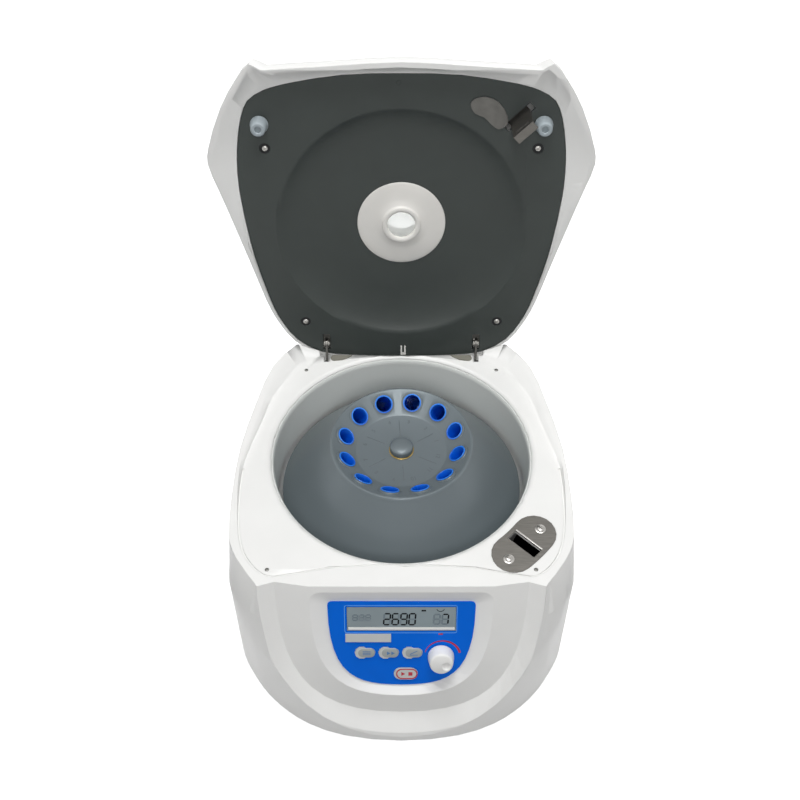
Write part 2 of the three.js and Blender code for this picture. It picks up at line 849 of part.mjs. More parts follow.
function boardCorners() {
  const half = boardHalfWidth - boardPostInset;
  const high = -panelDrop - boardDrop - boardPostInset;
  const low = high - boardHeight + boardPostInset * 2;
  return [[-half, high], [half, high], [-half, low], [half, low]];
}

function boardPosts() {
  return boardCorners().map(([x, y]) => post(
    boardPostRadius, boardPostRadius, x, y, boardFront + seatGap, casingWall / 2 - fasciaWall, coarse));
}

function baseTray() {
  const top = casingFoot + trayThickness;
  const floor = cavity(seatGap).intersect(solid(block(
    -bodyHalfWidth, bodyHalfWidth, -bodyFront, bodyRear, casingFoot, top)));
  const postTop = -mountDrop - mountThickness - damperHeight - seatGap * 2;
  const posts = damperPlaces().map(([x, y]) =>
    solid(post(trayPostRadius, trayPostRadius, x, y, top - trayThickness / 2, postTop, coarse)));
  return shell(joined(floor, ...posts));
}

function damperPlaces() {
  return Array.from({ length: damperCount }, (_, i) => {
    const azimuth = Math.PI / 2 + (i * Math.PI * 2) / damperCount;
    return [damperCircle * Math.cos(azimuth), damperCircle * Math.sin(azimuth)];
  });
}

function foot() {
  return post(footRadius - baseChamfer / 2, footRadius, 0, 0, -footHeight, -seatGap, medium);
}

function damper() {
  const profile = [
    [0, -damperHeight], [damperRadius, -damperHeight], [damperRadius, -damperHeight * 0.75],
    [damperRadius * 0.75, -damperHeight / 2], [damperRadius, -damperHeight / 4], [damperRadius, 0],
    [0, 0],
  ];
  return turned(profile, coarse);
}

function motorMount() {
  const profile = [
    [mountBore, -mountDrop], [mountRadius, -mountDrop],
    [mountRadius, -mountDrop - mountThickness], [mountBore, -mountDrop - mountThickness],
  ];
  return turned(profile, medium);
}

const motorTop = -mountDrop - mountThickness - seatGap;

function motor() {
  const flangeFoot = motorTop - motorFlangeThickness;
  const bore = shaftRadius + seatGap;
  const profile = [
    [bore, motorTop], [motorFlange, motorTop], [motorFlange, flangeFoot], [motorRadius, flangeFoot],
    [motorRadius, motorTop - motorHeight], [0, motorTop - motorHeight],
    [0, motorTop - motorBoreDepth], [bore, motorTop - motorBoreDepth],
  ];
  return turned(profile, medium);
}

function driveShaft() {
  const shoulder = -hubDepth - seatGap;
  const discFace = discRise - seatGap;
  const profile = [
    [0, motorTop - motorBoreDepth + seatGap], [shaftRadius, motorTop - motorBoreDepth + seatGap],
    [shaftRadius, shoulder - shoulderThickness], [shoulderRadius, shoulder - shoulderThickness],
    [shoulderRadius, shoulder], [taperRadius, shoulder], [taperRadius, discFace],
    [threadRadius, discFace], [threadRadius, shaftEnd], [0, shaftEnd],
  ];
  return turned(profile, coarse);
}

// The bowl hangs from a flange under the deck, trimmed where the deck steps down
function chamberBowl() {
  const outer = chamberRadius + chamberWall;
  const floor = -chamberDepth;
  const top = -casingWall;
  const flangeTop = -casingWall - seatGap;
  const flangeFoot = flangeTop - chamberFlangeThickness;
  const bend = chamberCorner * 0.3;
  const bowl = turned([
    [chamberPort, floor], [chamberRadius - chamberCorner, floor],
    [chamberRadius - bend, floor + bend], [chamberRadius, floor + chamberCorner],
    [chamberRadius, top - chamberFlare], [outer - chamberEdge, top], [outer, top],
    [outer, floor + chamberCorner],
    [outer - bend, floor + bend - chamberWall], [chamberRadius - chamberCorner, floor - chamberWall],
    [chamberPort, floor - chamberWall],
  ], fine);
  const middle = chamberRadius + chamberWall / 2;
  const flange = turned([
    [middle, flangeTop], [chamberFlange, flangeTop], [chamberFlange, flangeFoot],
    [middle, flangeFoot],
  ], fine);
  const trim = block(
    -chamberFlange, chamberFlange, deckRearEdge - casingWall - seatGap, chamberFlange + overrun,
    flangeFoot - overrun, flangeTop + overrun);
  return shell(joined(solid(bowl), cut(solid(flange), solid(trim))));
}

function rotorBell() {
  const bore = taperRadius + seatGap;
  const discUnder = discRise - discThickness;
  const ridge = rotorWall / 2;
  const bell = solid(turned([
    [bore, -hubDepth], [hubRadius, -hubDepth], [hubRadius, discUnder],
    [discRadius - rotorWall / 3, discUnder], [rotorRimRadius - ridge, rotorRimRise - rotorWall],
    [rotorSkirtRadius - rotorWall * 1.25, -rotorSkirtDrop], [rotorSkirtRadius, -rotorSkirtDrop],
    [rotorRimRadius + rotorWall, rotorRimRise - rotorWall], [rotorRimRadius + ridge / 2, rotorRimRise],
    [rotorRimRadius - ridge, rotorRimRise], [discRadius, discRise], [bore, discRise],
  ], tubeCount * facetsPerTube));
  const hole = sleeveRadius + slideGap;
  const rims = [];
  const holes = [];
  for (let i = 0; i < tubeCount; i += 1) {
    const frame = tubeFrame(i);
    const outer = hole + tubeHoleLip;
    rims.push(solid(inFrame(frame, post(outer, outer, 0, 0, -rotorWall / 2, tubeHoleRise, coarse))));
    holes.push(solid(inFrame(frame, post(
      hole, hole, 0, 0, -rotorWall - overrun, tubeHoleRise + overrun, coarse))));
  }
  return shell(cut(joined(bell, ...rims), ...holes));
}

// Drawn upright, with its lip resting on the raised edge of a tube hole
function tubeSleeve() {
  const lip = tubeHoleRise + seatGap;
  const top = lip + sleeveProud;
  const low = top - sleeveLength;
  const round = sleeveRadius / 2;
  const bore = sleeveRadius - sleeveWall;
  return turned([
    [0, low], [sleeveRadius - round / 2, low], [sleeveRadius, low + round], [sleeveRadius, lip],
    [sleeveRadius + sleeveLip, lip], [sleeveRadius + sleeveLip, top], [bore, top],
    [bore, low + round], [0, low + sleeveWall * 2],
  ], coarse);
}

function nutRing() {
  const low = discRise + seatGap;
  const high = low + nutRingThickness;
  const bore = threadRadius + seatGap;
  return turned([[bore, low], [nutRingRadius, low], [nutRingRadius, high], [bore, high]], medium);
}

function rotorNut() {
  const low = discRise + nutRingThickness + seatGap * 2;
  const high = low + nutHeight;
  const bore = threadRadius + seatGap;
  const edge = (nutHeight - threadRise) / 2;
  return turned([
    [bore, low], [nutRadius, low], [nutRadius, high - edge], [nutRadius - edge, high], [0, high],
    [0, shaftEnd + seatGap], [bore, shaftEnd + seatGap],
  ], medium);
}

// Control panel pieces, drawn on the fascia
function panelOverlay() {
  const low = overlayFace - overlayThickness;
  const sheet = solid(slab(panelShape(0), low, overlayFace, coarse));
  const keys = keyPlaces().flatMap(({ x, y, shapes }) =>
    shapes(slideGap).map((shape) => slab(shape, low - overrun, overrun).translate(x, y, 0)));
  const [display] = panelOpenings(low - overrun, overrun, slideGap);
  const shaftHole = encoderRadius + seatGap * 2;
  const shaft = post(
    shaftHole, shaftHole, knobSide, -panelDrop - knobDrop, low - overrun, overrun, coarse);
  return shell(cut(sheet, ...[display, shaft, ...keys].map(solid)));
}

function displayWindow() {
  const face = overlayFace - seatGap;
  const [display] = panelOpenings(face - displayDepth, face, 0);
  return display;
}

function labelPlate() {
  const low = overlayFace + seatGap;
  const drop = -panelDrop - labelDrop;
  return block(
    labelSide - labelWidth / 2, labelSide + labelWidth / 2,
    drop - labelHeight / 2, drop + labelHeight / 2, low, low + labelThickness);
}

function pushKey({ x, y, shapes }) {
  const low = keyFace - keyThickness;
  const stemEnd = boardFront + tactHeight + keyTravel + seatGap;
  const stem = solid(post(keyStem, keyStem, x, y, stemEnd, low + keyThickness / 2, coarse));
  const caps = shapes(0).map((shape) => solid(slab(shape, low, keyFace).translate(x, y, 0)));
  return shell(joined(stem, ...caps));
}

// Drawn round its own axis, with its underside at the bottom
function knob() {
  const bore = encoderRadius + seatGap;
  return turned([
    [bore, 0], [knobRadius, 0], [knobRadius, knobHeight / 4], [knobTipRadius, knobHeight - knobRound],
    [knobTipRadius - knobRound, knobHeight], [knobDimpleRadius, knobHeight],
    [knobDimpleRadius - knobRound, knobHeight - knobDimpleDepth], [0, knobHeight - knobDimpleDepth],
    [0, knobBore], [bore, knobBore],
  ], medium);
}

function encoderShaft() {
  const low = boardFront + encoderTravel + seatGap;
  const high = knobSeat + knobBore - seatGap;
  return post(encoderRadius, encoderRadius, knobSide, -panelDrop - knobDrop, low, high, coarse);
}

function controlBoard() {
  const high = -panelDrop - boardDrop;
  const back = boardFront - boardThickness;
  const board = block(-boardHalfWidth, boardHalfWidth, high - boardHeight, high, back, boardFront);
  const root = boardFront - boardThickness / 2;
  const switches = keyPlaces().map(({ x, y }) =>
    solid(post(keyStem, keyStem, x, y, root, boardFront + tactHeight, coarse)));
  const middle = -panelDrop - knobDrop;
  const housing = block(
    knobSide - encoderBody, knobSide + encoderBody, middle - encoderBody, middle + encoderBody,
    root, -fasciaWall - seatGap);
  const bore = encoderRadius + slideGap;
  const socket = post(bore, bore, knobSide, middle, boardFront, overrun - fasciaWall, coarse);
  return shell(cut(joined(solid(board), solid(housing), ...switches), solid(socket)));
}

// Latch pieces, drawn at the latch
function latchShape(grow) {
  const half = latchPlateHalfWidth + grow;
  const endX = latchCircle * Math.cos(latchPlateArc) - latchCircle;
  const endY = latchCircle * Math.sin(latchPlateArc);
  const shape = new THREE.Shape();
  shape.absarc(-latchCircle, 0, latchCircle + half, -latchPlateArc, latchPlateArc, false);
  shape.absarc(endX, endY, half, latchPlateArc, latchPlateArc + Math.PI, false);
  shape.absarc(-latchCircle, 0, latchCircle - half, latchPlateArc, -latchPlateArc, true);
  shape.absarc(endX, -endY, half, Math.PI - latchPlateArc, Math.PI * 2 - latchPlateArc, false);
  return shape;
}

function latchPlate() {
  const low = seatGap - latchPlatePocket;
  const plain = inFrame(latchFrame(), slab(latchShape(0), low, low + latchPlateThickness));
  return shell(cut(solid(plain), latchSlot(), ...latchScrewHoles()));
}

function latchSolenoid() {
  const top = -casingWall - seatGap;
  const near = -boltTravel;
  const half = boltWidth / 2 + slideGap;
  const high = boltDrop + boltThickness / 2 + slideGap;
  const low = boltDrop - boltThickness / 2 - slideGap;
  const body = block(
    -solenoidHalfWidth, solenoidHalfWidth, near - solenoidLength, near, top - solenoidHeight, top);
  const guide = block(
    -half, half, near - solenoidLength - overrun, near + overrun, low, high);
  return shell(cut(solid(body), solid(guide)));
}

function latchBolt() {
  const tip = strikerSide - boltGap;
  return block(
    -boltWidth / 2, boltWidth / 2, tip - boltLength, tip,
    boltDrop - boltThickness / 2, boltDrop + boltThickness / 2);
}

function striker() {
  const half = strikerWidth / 2;
  const face = strikerSide + strikerThickness;
  const upright = block(-half, half, strikerSide, face, foldDrop, lidSeat + strikerThickness);
  const tab = block(
    -half, half, strikerSide - strikerTab, face, lidSeat, lidSeat + strikerThickness);
  const flange = block(
    -half, half, strikerSide, strikerSide + strikerFlange, foldDrop, foldDrop + strikerThickness);
  const sill = foldDrop + strikerWindowRise;
  const opening = block(
    -strikerWindowWidth / 2, strikerWindowWidth / 2, strikerSide - overrun, face + overrun,
    sill, sill + strikerWindowHeight);
  return shell(cut(joined(solid(upright), solid(tab), solid(flange)), solid(opening)));
}

// Lid pieces, drawn closed
function lidCover() {
  const climb = (share) => (y) =>
    THREE.MathUtils.lerp(lidRimHeightAt(y) + lidRimHeight, lidCrown, share);
  const crown = crownShares.map(([reach, rise]) => ring(scaled(lidOutline, reach), climb(rise)));
  const skin = solid(loft([ring(lidOutline, lidRimHeightAt), ring(lidOutline, climb(0)), ...crown]));
  const skirtTop = linerRise - lidLip;
  const skirtFoot = (y) => Math.min(lidRimHeightAt(y), skirtTop - overrun);
  const skirtEdge = scaled(lidOutline, 1 - lidRimWidth / lidHalfWidth);
  const skirt = solid(loft([
    ring(skirtEdge, -overrun), ring(skirtEdge, skirtFoot),
    ring(inset(linerOutline, -lidLipWidth), skirtTop),
  ]));
  const ledge = lidSeat + linerLedge;
  const vault = solid(loft(vaultShares.map(([reach, rise]) =>
    ring(scaled(lidOutline, reach), Math.max(ledge, lidCrown * rise)))));
  return shell(cut(
    skin,
    skirt,
    solid(plate(inset(linerOutline, -slideGap), skirtTop - overrun, lidSeat)),
    solid(plate(inset(linerOutline, linerLedge), lidSeat - overrun, ledge + overrun)),
    vault,
    solid(post(sightHole, sightHole, 0, dishBack, lidSeat, lidCrown + overrun, medium)),
  ));
}

const sightHole = sightRadius + seatGap;

function dishProfile(lift, widen) {
  const line = dishShares.map(([reach, depth]) =>
    [dishRadius * reach + widen, linerRise + dishDepth * depth + lift]);
  return [...line, [0, linerRise + dishDepth + lift]];
}

function lidLiner() {
  const sheet = solid(plate(linerOutline, linerRise, linerTop));
  const dome = solid(turned(
    [[0, linerRise], [dishRadius + linerThickness, linerRise],
      ...dishProfile(linerThickness, linerThickness)], fine).translate(0, dishBack, 0));
  const dish = solid(turned(
    [[0, -overrun], [dishRadius, -overrun], ...dishProfile(0, 0)], fine).translate(0, dishBack, 0));
  const far = linerTop + dishDepth + overrun;
  const eye = solid(post(sightHole, sightHole, 0, dishBack, 0, far, medium));
  const slots = [-1, 1].map((side) => solid(block(
    side * hingeSide - hingeSlotWidth / 2, side * hingeSide + hingeSlotWidth / 2,
    hingeSlotFront, hingeSlotBack, linerRise - overrun, far)));
  const low = linerRise - overrun;
  const seat = linerTop - linerScrewSeat;
  const recesses = linerScrews().flatMap(([x, y]) => [
    solid(post(linerScrewRadius, linerScrewRadius, x, y, low, seat, coarse)),
    solid(post(screwRadius, screwRadius, x, y, low, far, coarse)),
  ]);
  const strikerHole = block(
    -strikerHoleLength / 2, strikerHoleLength / 2, strikerHoleFront - strikerHoleWidth,
    strikerHoleFront, linerRise - overrun, far);
  return shell(cut(
    joined(sheet, dome), dish, eye, ...slots, ...recesses, solid(inFrame(latchFrame(), strikerHole))));
}

function linerScrews() {
  return [-1, 1].flatMap((side) =>
    [[side * linerScrewSide, -linerScrewFront], [side * rearScrewSide, rearScrewBack]]);
}

function windowBezel() {
  const face = linerRise + dishDepth - seatGap;
  const nose = face - bezelDrop;
  const seat = nose + bezelDrop - lensThickness / 2 - seatGap;
  const bore = sightRadius - sightWall;
  return turned([
    [bezelBore, nose], [bezelNose, nose], [bezelRadius, face - bezelEdge], [bezelRadius, face],
    [sightRadius, face], [sightRadius, lidCrown], [bore, lidCrown], [bore, seat], [bezelBore, seat],
  ], medium).translate(0, dishBack, 0);
}

function windowLens() {
  const radius = sightRadius - sightWall - seatGap;
  const low = linerRise + dishDepth - lensThickness / 2 - seatGap;
  return post(radius, radius, 0, dishBack, low, low + lensThickness, medium);
}

// Drawn round its own axis, hanging from the liner
function cushion() {
  const top = linerRise - seatGap;
  const deep = bufferGap + bufferScrewRecess;
  return turned([
    [0, top], [bufferBaseRadius, top], [bufferTipRadius, bufferGap], [bufferScrewRecess, bufferGap],
    [bufferScrewRecess, deep], [0, deep],
  ], coarse);
}

function beanPlate() {
  const points = beanShares.map(([x, y]) =>
    [beanSide + beanLength * x, beanLength * y - beanFront]);
  const high = linerRise - seatGap;
  return plate(smoothLoop(points, spanSteps), high - beanThickness, high);
}

// Hinge pieces, drawn at one hinge with the lid closed
function hingeBracket(side) {
  const low = -casingWall - seatGap - armFootThickness;
  const heel = deckRearEdge - casingWall - seatGap;
  const half = armThickness / 2;
  const footMiddle = (armNotchFront + deckRearEdge) / 2;
  const along = new THREE.Vector2(hingeBack - footMiddle, hingeRise - low).normalize();
  const across = [along.y * armWidth / 2, -along.x * armWidth / 2];
  const root = [armNotchFront + seatGap, low];
  const arm = plate([
    root, [deckRearEdge - seatGap, low],
    [hingeBack + across[0], hingeRise + across[1]], [hingeBack - across[0], hingeRise - across[1]],
  ], -half, half);
  const upright = joined(
    solid(acrossX(arm)), solid(rod(hingeEyeRadius, -half, half, hingeBack, hingeRise, coarse)));
  const foot = plate([
    [-half, armFootFront], [armFootHeel, armFootToe], [armFootLength, armFootToe],
    [armFootLength, heel], [-half, heel],
  ], low, low + armFootThickness);
  const bore = hingePinRadius + seatGap;
  const hole = rod(bore, -half - overrun, half + overrun, hingeBack, hingeRise, coarse);
  const screw = post(
    screwRadius, screwRadius, rearScrewSide - hingeSide, rearScrewBack,
    low - overrun, low + armFootThickness + overrun, coarse);
  const bracket = cut(joined(upright, solid(foot)), solid(hole), solid(screw));
  return shell(side < 0 ? bracket.mirror([1, 0, 0]) : bracket);
}

function hingeClevis() {
  const inner = armThickness / 2 + seatGap;
  const outer = inner + earThickness;
  const back = hingeSlotBack - armWidth / 3;
  const base = block(
    -clevisHalfWidth, clevisHalfWidth, back - clevisLength, back, lidSeat, lidSeat + clevisThickness);
  const bore = hingePinRadius + seatGap;
  const ears = [[-outer, -inner], [inner, outer]].map(([x0, x1]) => joined(
    solid(rod(hingeEyeRadius, x0, x1, hingeBack, hingeRise, coarse)),
    solid(block(x0, x1, hingeBack - hingeEyeRadius, hingeBack + hingeEyeRadius, hingeRise,
      lidSeat + clevisThickness / 2))));
  const hole = rod(bore, -outer - overrun, outer + overrun, hingeBack, hingeRise, coarse);
  return shell(cut(joined(solid(base), ...ears), solid(hole)));
}

function hingePin() {
  const half = armThickness / 2 + seatGap + earThickness + hingePinProud;
  return rod(hingePinRadius, -half, half, hingeBack, hingeRise, coarse);
}

// Pieces on the back of the body
const rearPlateFace = rearWallAt(rearPlateWidth / 2, rearPlateTop) - seatGap;

function rearPanel() {
  const behind = rearPlateFace - sheet;
  const base = solid(block(
    -rearPlateWidth / 2, rearPlateWidth / 2, behind, rearPlateFace, rearPlateFoot, rearPlateTop));
  const holes = [[inletSide, inletWidth, inletHeight], [switchSide, switchWidth, switchHeight]];
  const deep = [behind - overrun, rearPlateFace + overrun];
  const windows = holes.map(([x, width, height]) => solid(rearBlock(
    x, width / 2 - flangeLap + seatGap, height / 2 - flangeLap + seatGap, ...deep)));
  const fuse = solid(lying(fuseBodyRadius + seatGap, fuseSide, -rearPartDrop, ...deep));
  const vents = Array.from({ length: ventCount }, (_, i) => {
    const x = (i - (ventCount - 1) / 2) * ventPitch;
    return solid(block(
      x - ventWidth / 2, x + ventWidth / 2, ...deep,
      -ventDrop - ventHeight / 2, ventHeight / 2 - ventDrop));
  });
  return shell(cut(base, ...windows, fuse, ...vents));
}

// A block centred on the row of connectors, and a rod that lies along y
function rearBlock(x, halfWidth, halfHeight, y0, y1) {
  return block(
    x - halfWidth, x + halfWidth, y0, y1,
    -rearPartDrop - halfHeight, halfHeight - rearPartDrop);
}

function lying(radius, x, z, y0, y1) {
  const geometry = new THREE.CylinderGeometry(radius, radius, y1 - y0, coarse);
  return geometry.translate(x, (y0 + y1) / 2, z);
}

function powerInlet() {
  const face = rearPlateFace + seatGap + flangeThickness;
  const floor = face - socketDepth;
  const flange = rearBlock(
    inletSide, inletWidth / 2, inletHeight / 2, face - flangeThickness, face);
  const body = rearBlock(
    inletSide, inletWidth / 2 - flangeLap, inletHeight / 2 - flangeLap,
    face - inletDepth, face - flangeThickness / 2);
  const socket = rearBlock(inletSide, socketWidth / 2, socketHeight / 2, floor, face + overrun);
  const blades = [-1, 0, 1].map((step) => {
    const x = inletSide + step * bladePitch;
    const z = (step === 0 ? 1 : -1) * bladeWidth - rearPartDrop;
    return solid(block(
      x - bladeWidth / 2, x + bladeWidth / 2, floor - bladeWidth, floor + bladeLength,
      z - bladeHeight / 2, z + bladeHeight / 2));
  });
  return shell(joined(cut(joined(solid(flange), solid(body)), solid(socket)), ...blades));
}

function switchFrame() {
  const face = rearPlateFace + seatGap + flangeThickness;
  const flange = rearBlock(
    switchSide, switchWidth / 2, switchHeight / 2, face - flangeThickness, face);
  const body = rearBlock(
    switchSide, switchWidth / 2 - flangeLap, switchHeight / 2 - flangeLap,
    face - switchDepth, face - flangeThickness / 2);
  const well = rearBlock(
    switchSide, rockerWidth / 2 + seatGap, rockerHeight / 2 + slideGap,
    face - switchDepth - overrun, face + overrun);
  const reach = (rockerWidth + flangeLap) / 2;
  const pivot = rod(
    rockerPivotRadius + seatGap, switchSide - reach, switchSide + reach,
    face - rockerDepth / 2, -rearPartDrop, coarse);
  return shell(cut(joined(solid(flange), solid(body)), solid(well), solid(pivot)));
}

// The rocker stands proud in a shallow V, on two stub pivots
function powerRocker() {
  const face = rearPlateFace + seatGap + flangeThickness;
  const pivotBack = face - rockerDepth / 2;
  const half = rockerHeight / 2 - slideGap;
  const rise = half * Math.tan(rockerTilt);
  const profile = [
    [pivotBack - rockerPivotRadius, -rearPartDrop - half * 0.6],
    [face, -rearPartDrop - half], [face + rise, -rearPartDrop - half],
    [face + rise / 2, -rearPartDrop], [face + rise, half - rearPartDrop],
    [face, half - rearPartDrop], [pivotBack - rockerPivotRadius, half * 0.6 - rearPartDrop],
  ];
  const cap = acrossX(plate(profile, switchSide - rockerWidth / 2, switchSide + rockerWidth / 2));
  const reach = (rockerWidth + flangeLap) / 2 - seatGap;
  const pivot = rod(
    rockerPivotRadius, switchSide - reach, switchSide + reach, pivotBack, -rearPartDrop, coarse);
  return shell(joined(solid(cap), solid(pivot)));
}

function fuseHolder() {
  const seat = rearPlateFace + seatGap;
  const cap = lying(fuseRadius, fuseSide, -rearPartDrop, seat, seat + flangeThickness);
  const body = lying(
    fuseBodyRadius, fuseSide, -rearPartDrop,
    seat + flangeThickness - fuseDepth, seat + flangeThickness / 2);
  const slot = block(
    fuseSide - fuseBodyRadius / 2, fuseSide + fuseBodyRadius / 2,
    seat + flangeThickness / 2, seat + overrun,
    -rearPartDrop - bladeWidth / 2, bladeWidth / 2 - rearPartDrop);
  return shell(cut(joined(solid(cap), solid(body)), solid(slot)));
}

// Assembly
function piece(name, geometry, look, x = 0, y = 0, z = 0) {
  const mesh = new THREE.Mesh(geometry, look);
  mesh.name = name;
  mesh.position.set(x, y, z);
  return mesh;
}

const sides = [['left', -1], ['right', 1]];

function body() {
  const group = new THREE.Group();
  group.add(
    piece('upper_housing', upperHousing(), whitePlastic),
    piece('base_tray', baseTray(), blackPlastic),
    piece('chamber_bowl', chamberBowl(), chamberGrey),
    piece('motor_mount', motorMount(), steel),
    piece('motor', motor(), steel),
    piece('latch_plate', latchPlate(), steel),
    piece('rear_panel', rearPanel(), palePlastic),
    piece('power_inlet', powerInlet(), blackPlastic),
    piece('switch_frame', switchFrame(), blackPlastic),
    piece('power_rocker', powerRocker(), blackPlastic),
    piece('fuse_holder', fuseHolder(), blackPlastic),
  );
  for (const [name, side] of sides) {
    group.add(
      piece(`foot_front_${name}`, foot(), rubber, side * footSide, -footFront, casingFoot),
      piece(`foot_rear_${name}`, foot(), rubber, side * footSide, footBack, casingFoot),
      piece(`hinge_bracket_${name}`, hingeBracket(side), steel, side * hingeSide),
      piece(`hinge_pin_${name}`, hingePin(), steel, side * hingeSide),
    );
  }
  const damperTop = -mountDrop - mountThickness - seatGap;
  damperPlaces().forEach(([x, y], i) => {
    group.add(piece(`motor_damper_${i + 1}`, damper(), rubber, x, y, damperTop));
  });
  const latch = latchFrame();
  latch.add(
    piece('latch_solenoid', latchSolenoid(), steel),
    piece('latch_bolt', latchBolt(), steel),
  );
  group.add(latch, panel());
  return group;
}

function panel() {
  const group = fasciaFrame();
  group.add(
    piece('panel_overlay', panelOverlay(), panelBlue),
    piece('display_window', displayWindow(), displayGrey),
    piece('label_plate', labelPlate(), palePlastic),
    piece('control_board', controlBoard(), boardGreen),
    piece('encoder_shaft', encoderShaft(), steel),
    piece('speed_knob', knob(), whitePlastic, knobSide, -panelDrop - knobDrop, knobSeat),
  );
  keyPlaces().forEach((place, i) => {
    const name = i < keyCount ? `panel_key_${i + 1}` : 'start_key';
    group.add(piece(name, pushKey(place), palePlastic));
  });
  return group;
}

function rotor() {
  const group = new THREE.Group();
  group.add(
    piece('drive_shaft', driveShaft(), steel),
    piece('rotor_bell', rotorBell(), rotorGrey),
    piece('rotor_nut', rotorNut(), rotorGrey),
    piece('nut_ring', nutRing(), brass),
  );
  for (let i = 0; i < tubeCount; i += 1) {
    const frame = tubeFrame(i);
    frame.add(piece(`tube_sleeve_${i + 1}`, tubeSleeve(), sleeveBlue));
    group.add(frame);
  }
  return group;
}

function lid() {
  const swing = new THREE.Group();
  swing.position.set(0, hingeBack, hingeRise);
  swing.rotation.x = -lidOpenAngle;
  const closed = new THREE.Group();
  closed.position.set(0, -hingeBack, -hingeRise);
  closed.add(
    piece('lid_cover', lidCover(), whitePlastic),
    piece('lid_liner', lidLiner(), greyLiner),
    piece('window_bezel', windowBezel(), palePlastic),
    piece('window_lens', windowLens(), clearPlastic),
    piece('bean_plate', beanPlate(), steel),
  );
  for (const [name, side] of sides) {
    closed.add(
      piece(`hinge_clevis_${name}`, hingeClevis(), steel, side * hingeSide),
      piece(`lid_buffer_${name}`, cushion(), buffer, side * bufferSide, -bufferFront),
    );
  }
  const latch = latchFrame();
  latch.add(piece('striker', striker(), steel));
  closed.add(latch);
  swing.add(closed);
  return swing;
}

const centrifuge = new THREE.Group();
centrifuge.add(body(), rotor(), lid());
centrifuge.position.z = deckHeight;

// The origin lies on the table, midway between the foremost and the rearmost point
const bounds = new THREE.Box3().setFromObject(centrifuge, true);
centrifuge.position.y = -(bounds.min.y + bounds.max.y) / 2;

const model = new THREE.Group();
model.add(centrifuge);

export default model;
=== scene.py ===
import json
from math import cos, pi, radians, sin, tau

import bmesh
import bpy
from bpy.props import FloatProperty, FloatVectorProperty, IntProperty, PointerProperty
from bpy.types import Operator, Panel, PropertyGroup
from mathutils import Matrix, Vector

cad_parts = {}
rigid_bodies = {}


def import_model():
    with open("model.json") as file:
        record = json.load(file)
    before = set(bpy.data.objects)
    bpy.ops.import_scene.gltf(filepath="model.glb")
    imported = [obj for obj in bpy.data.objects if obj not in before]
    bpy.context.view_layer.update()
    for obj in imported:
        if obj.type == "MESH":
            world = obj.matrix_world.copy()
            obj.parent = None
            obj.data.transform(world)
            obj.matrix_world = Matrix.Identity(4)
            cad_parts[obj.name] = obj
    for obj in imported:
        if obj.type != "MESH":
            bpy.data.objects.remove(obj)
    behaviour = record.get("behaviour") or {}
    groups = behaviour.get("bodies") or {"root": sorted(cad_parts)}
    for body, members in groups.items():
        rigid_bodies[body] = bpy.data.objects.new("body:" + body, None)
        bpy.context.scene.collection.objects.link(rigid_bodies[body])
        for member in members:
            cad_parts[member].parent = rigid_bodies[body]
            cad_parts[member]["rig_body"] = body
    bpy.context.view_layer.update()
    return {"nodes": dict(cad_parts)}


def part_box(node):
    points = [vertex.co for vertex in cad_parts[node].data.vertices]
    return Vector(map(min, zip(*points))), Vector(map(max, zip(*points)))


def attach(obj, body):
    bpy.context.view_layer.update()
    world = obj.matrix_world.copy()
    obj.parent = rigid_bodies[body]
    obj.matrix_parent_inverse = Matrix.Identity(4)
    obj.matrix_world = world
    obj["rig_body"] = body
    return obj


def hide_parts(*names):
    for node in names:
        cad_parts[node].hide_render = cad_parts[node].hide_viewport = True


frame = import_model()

bl_info = {
    "name": "Tube centrifuge",
    "version": (1, 0, 0),
    "blender": (4, 5, 0),
    "location": "View3D > Sidebar > Centrifuge",
    "description": "Dresses a bench centrifuge with a lifting lid",
    "category": "Add Mesh",
}

MM = 0.001

# Where the drawing frames lie, in millimetres and degrees
PLATE_PROUD = 0.2
FASCIA_LINE = -168
FASCIA_SLOPE = 64
LATCH_REACH = 172
LATCH_TURN = -43.5
HINGE_BACK = 148.4
HINGE_RISE = 14
LID_SWING = 104.3


# Frames: pieces are drawn in millimetres in one of these and placed in the row frame
def box_middle(node):
    """The middle of a CAD node's box, in metres."""
    low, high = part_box(node)
    return (low + high) / 2


def moved(x, y, z):
    """A shift given in millimetres."""
    return Matrix.Translation(Vector((x, y, z)) * MM)


axis_place = box_middle("rotor_bell")
hinge_place = box_middle("hinge_pin_left")
deck_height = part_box("latch_plate")[1].z - PLATE_PROUD * MM
DECK = Matrix.Translation((0, axis_place.y, deck_height))
FASCIA = DECK @ moved(0, FASCIA_LINE, 0) @ Matrix.Rotation(radians(FASCIA_SLOPE), 4, "X")
LATCH = DECK @ Matrix.Rotation(radians(LATCH_TURN), 4, "Z") @ moved(LATCH_REACH, 0, 0)
# The lid is drawn shut over the deck, and swung open about its hinge
LID = (
    Matrix.Translation((0, hinge_place.y, hinge_place.z))
    @ Matrix.Rotation(radians(-LID_SWING), 4, "X")
    @ moved(0, -HINGE_BACK, -HINGE_RISE)
)

# Faces that pieces lie on, as heights in their frames, and the upper edge of the panel
PANEL_FACE = -3.5
KEY_FACE = -2.3
KNOB_SEAT = -2.4
PANEL_TOP = -20
LINER_FACE = 16.1
DISC_FACE = 3.7


# Sizes and colours that a user would change
def colour_of(red, green, blue):
    """A colour as Blender keeps it, from its levels out of 255."""
    def linear(share):
        return share / 12.92 if share <= 0.04045 else ((share + 0.055) / 1.055) ** 2.4

    return tuple(linear(value / 255) for value in (red, green, blue))


def colour_property(name, description, red, green, blue):
    return FloatVectorProperty(
        name=name, description=description, subtype="COLOR", size=3, min=0, max=1,
        default=colour_of(red, green, blue))


def length_property(name, description, millimetres):
    return FloatProperty(
        name=name, description=description, unit="LENGTH", min=0, default=millimetres * MM)


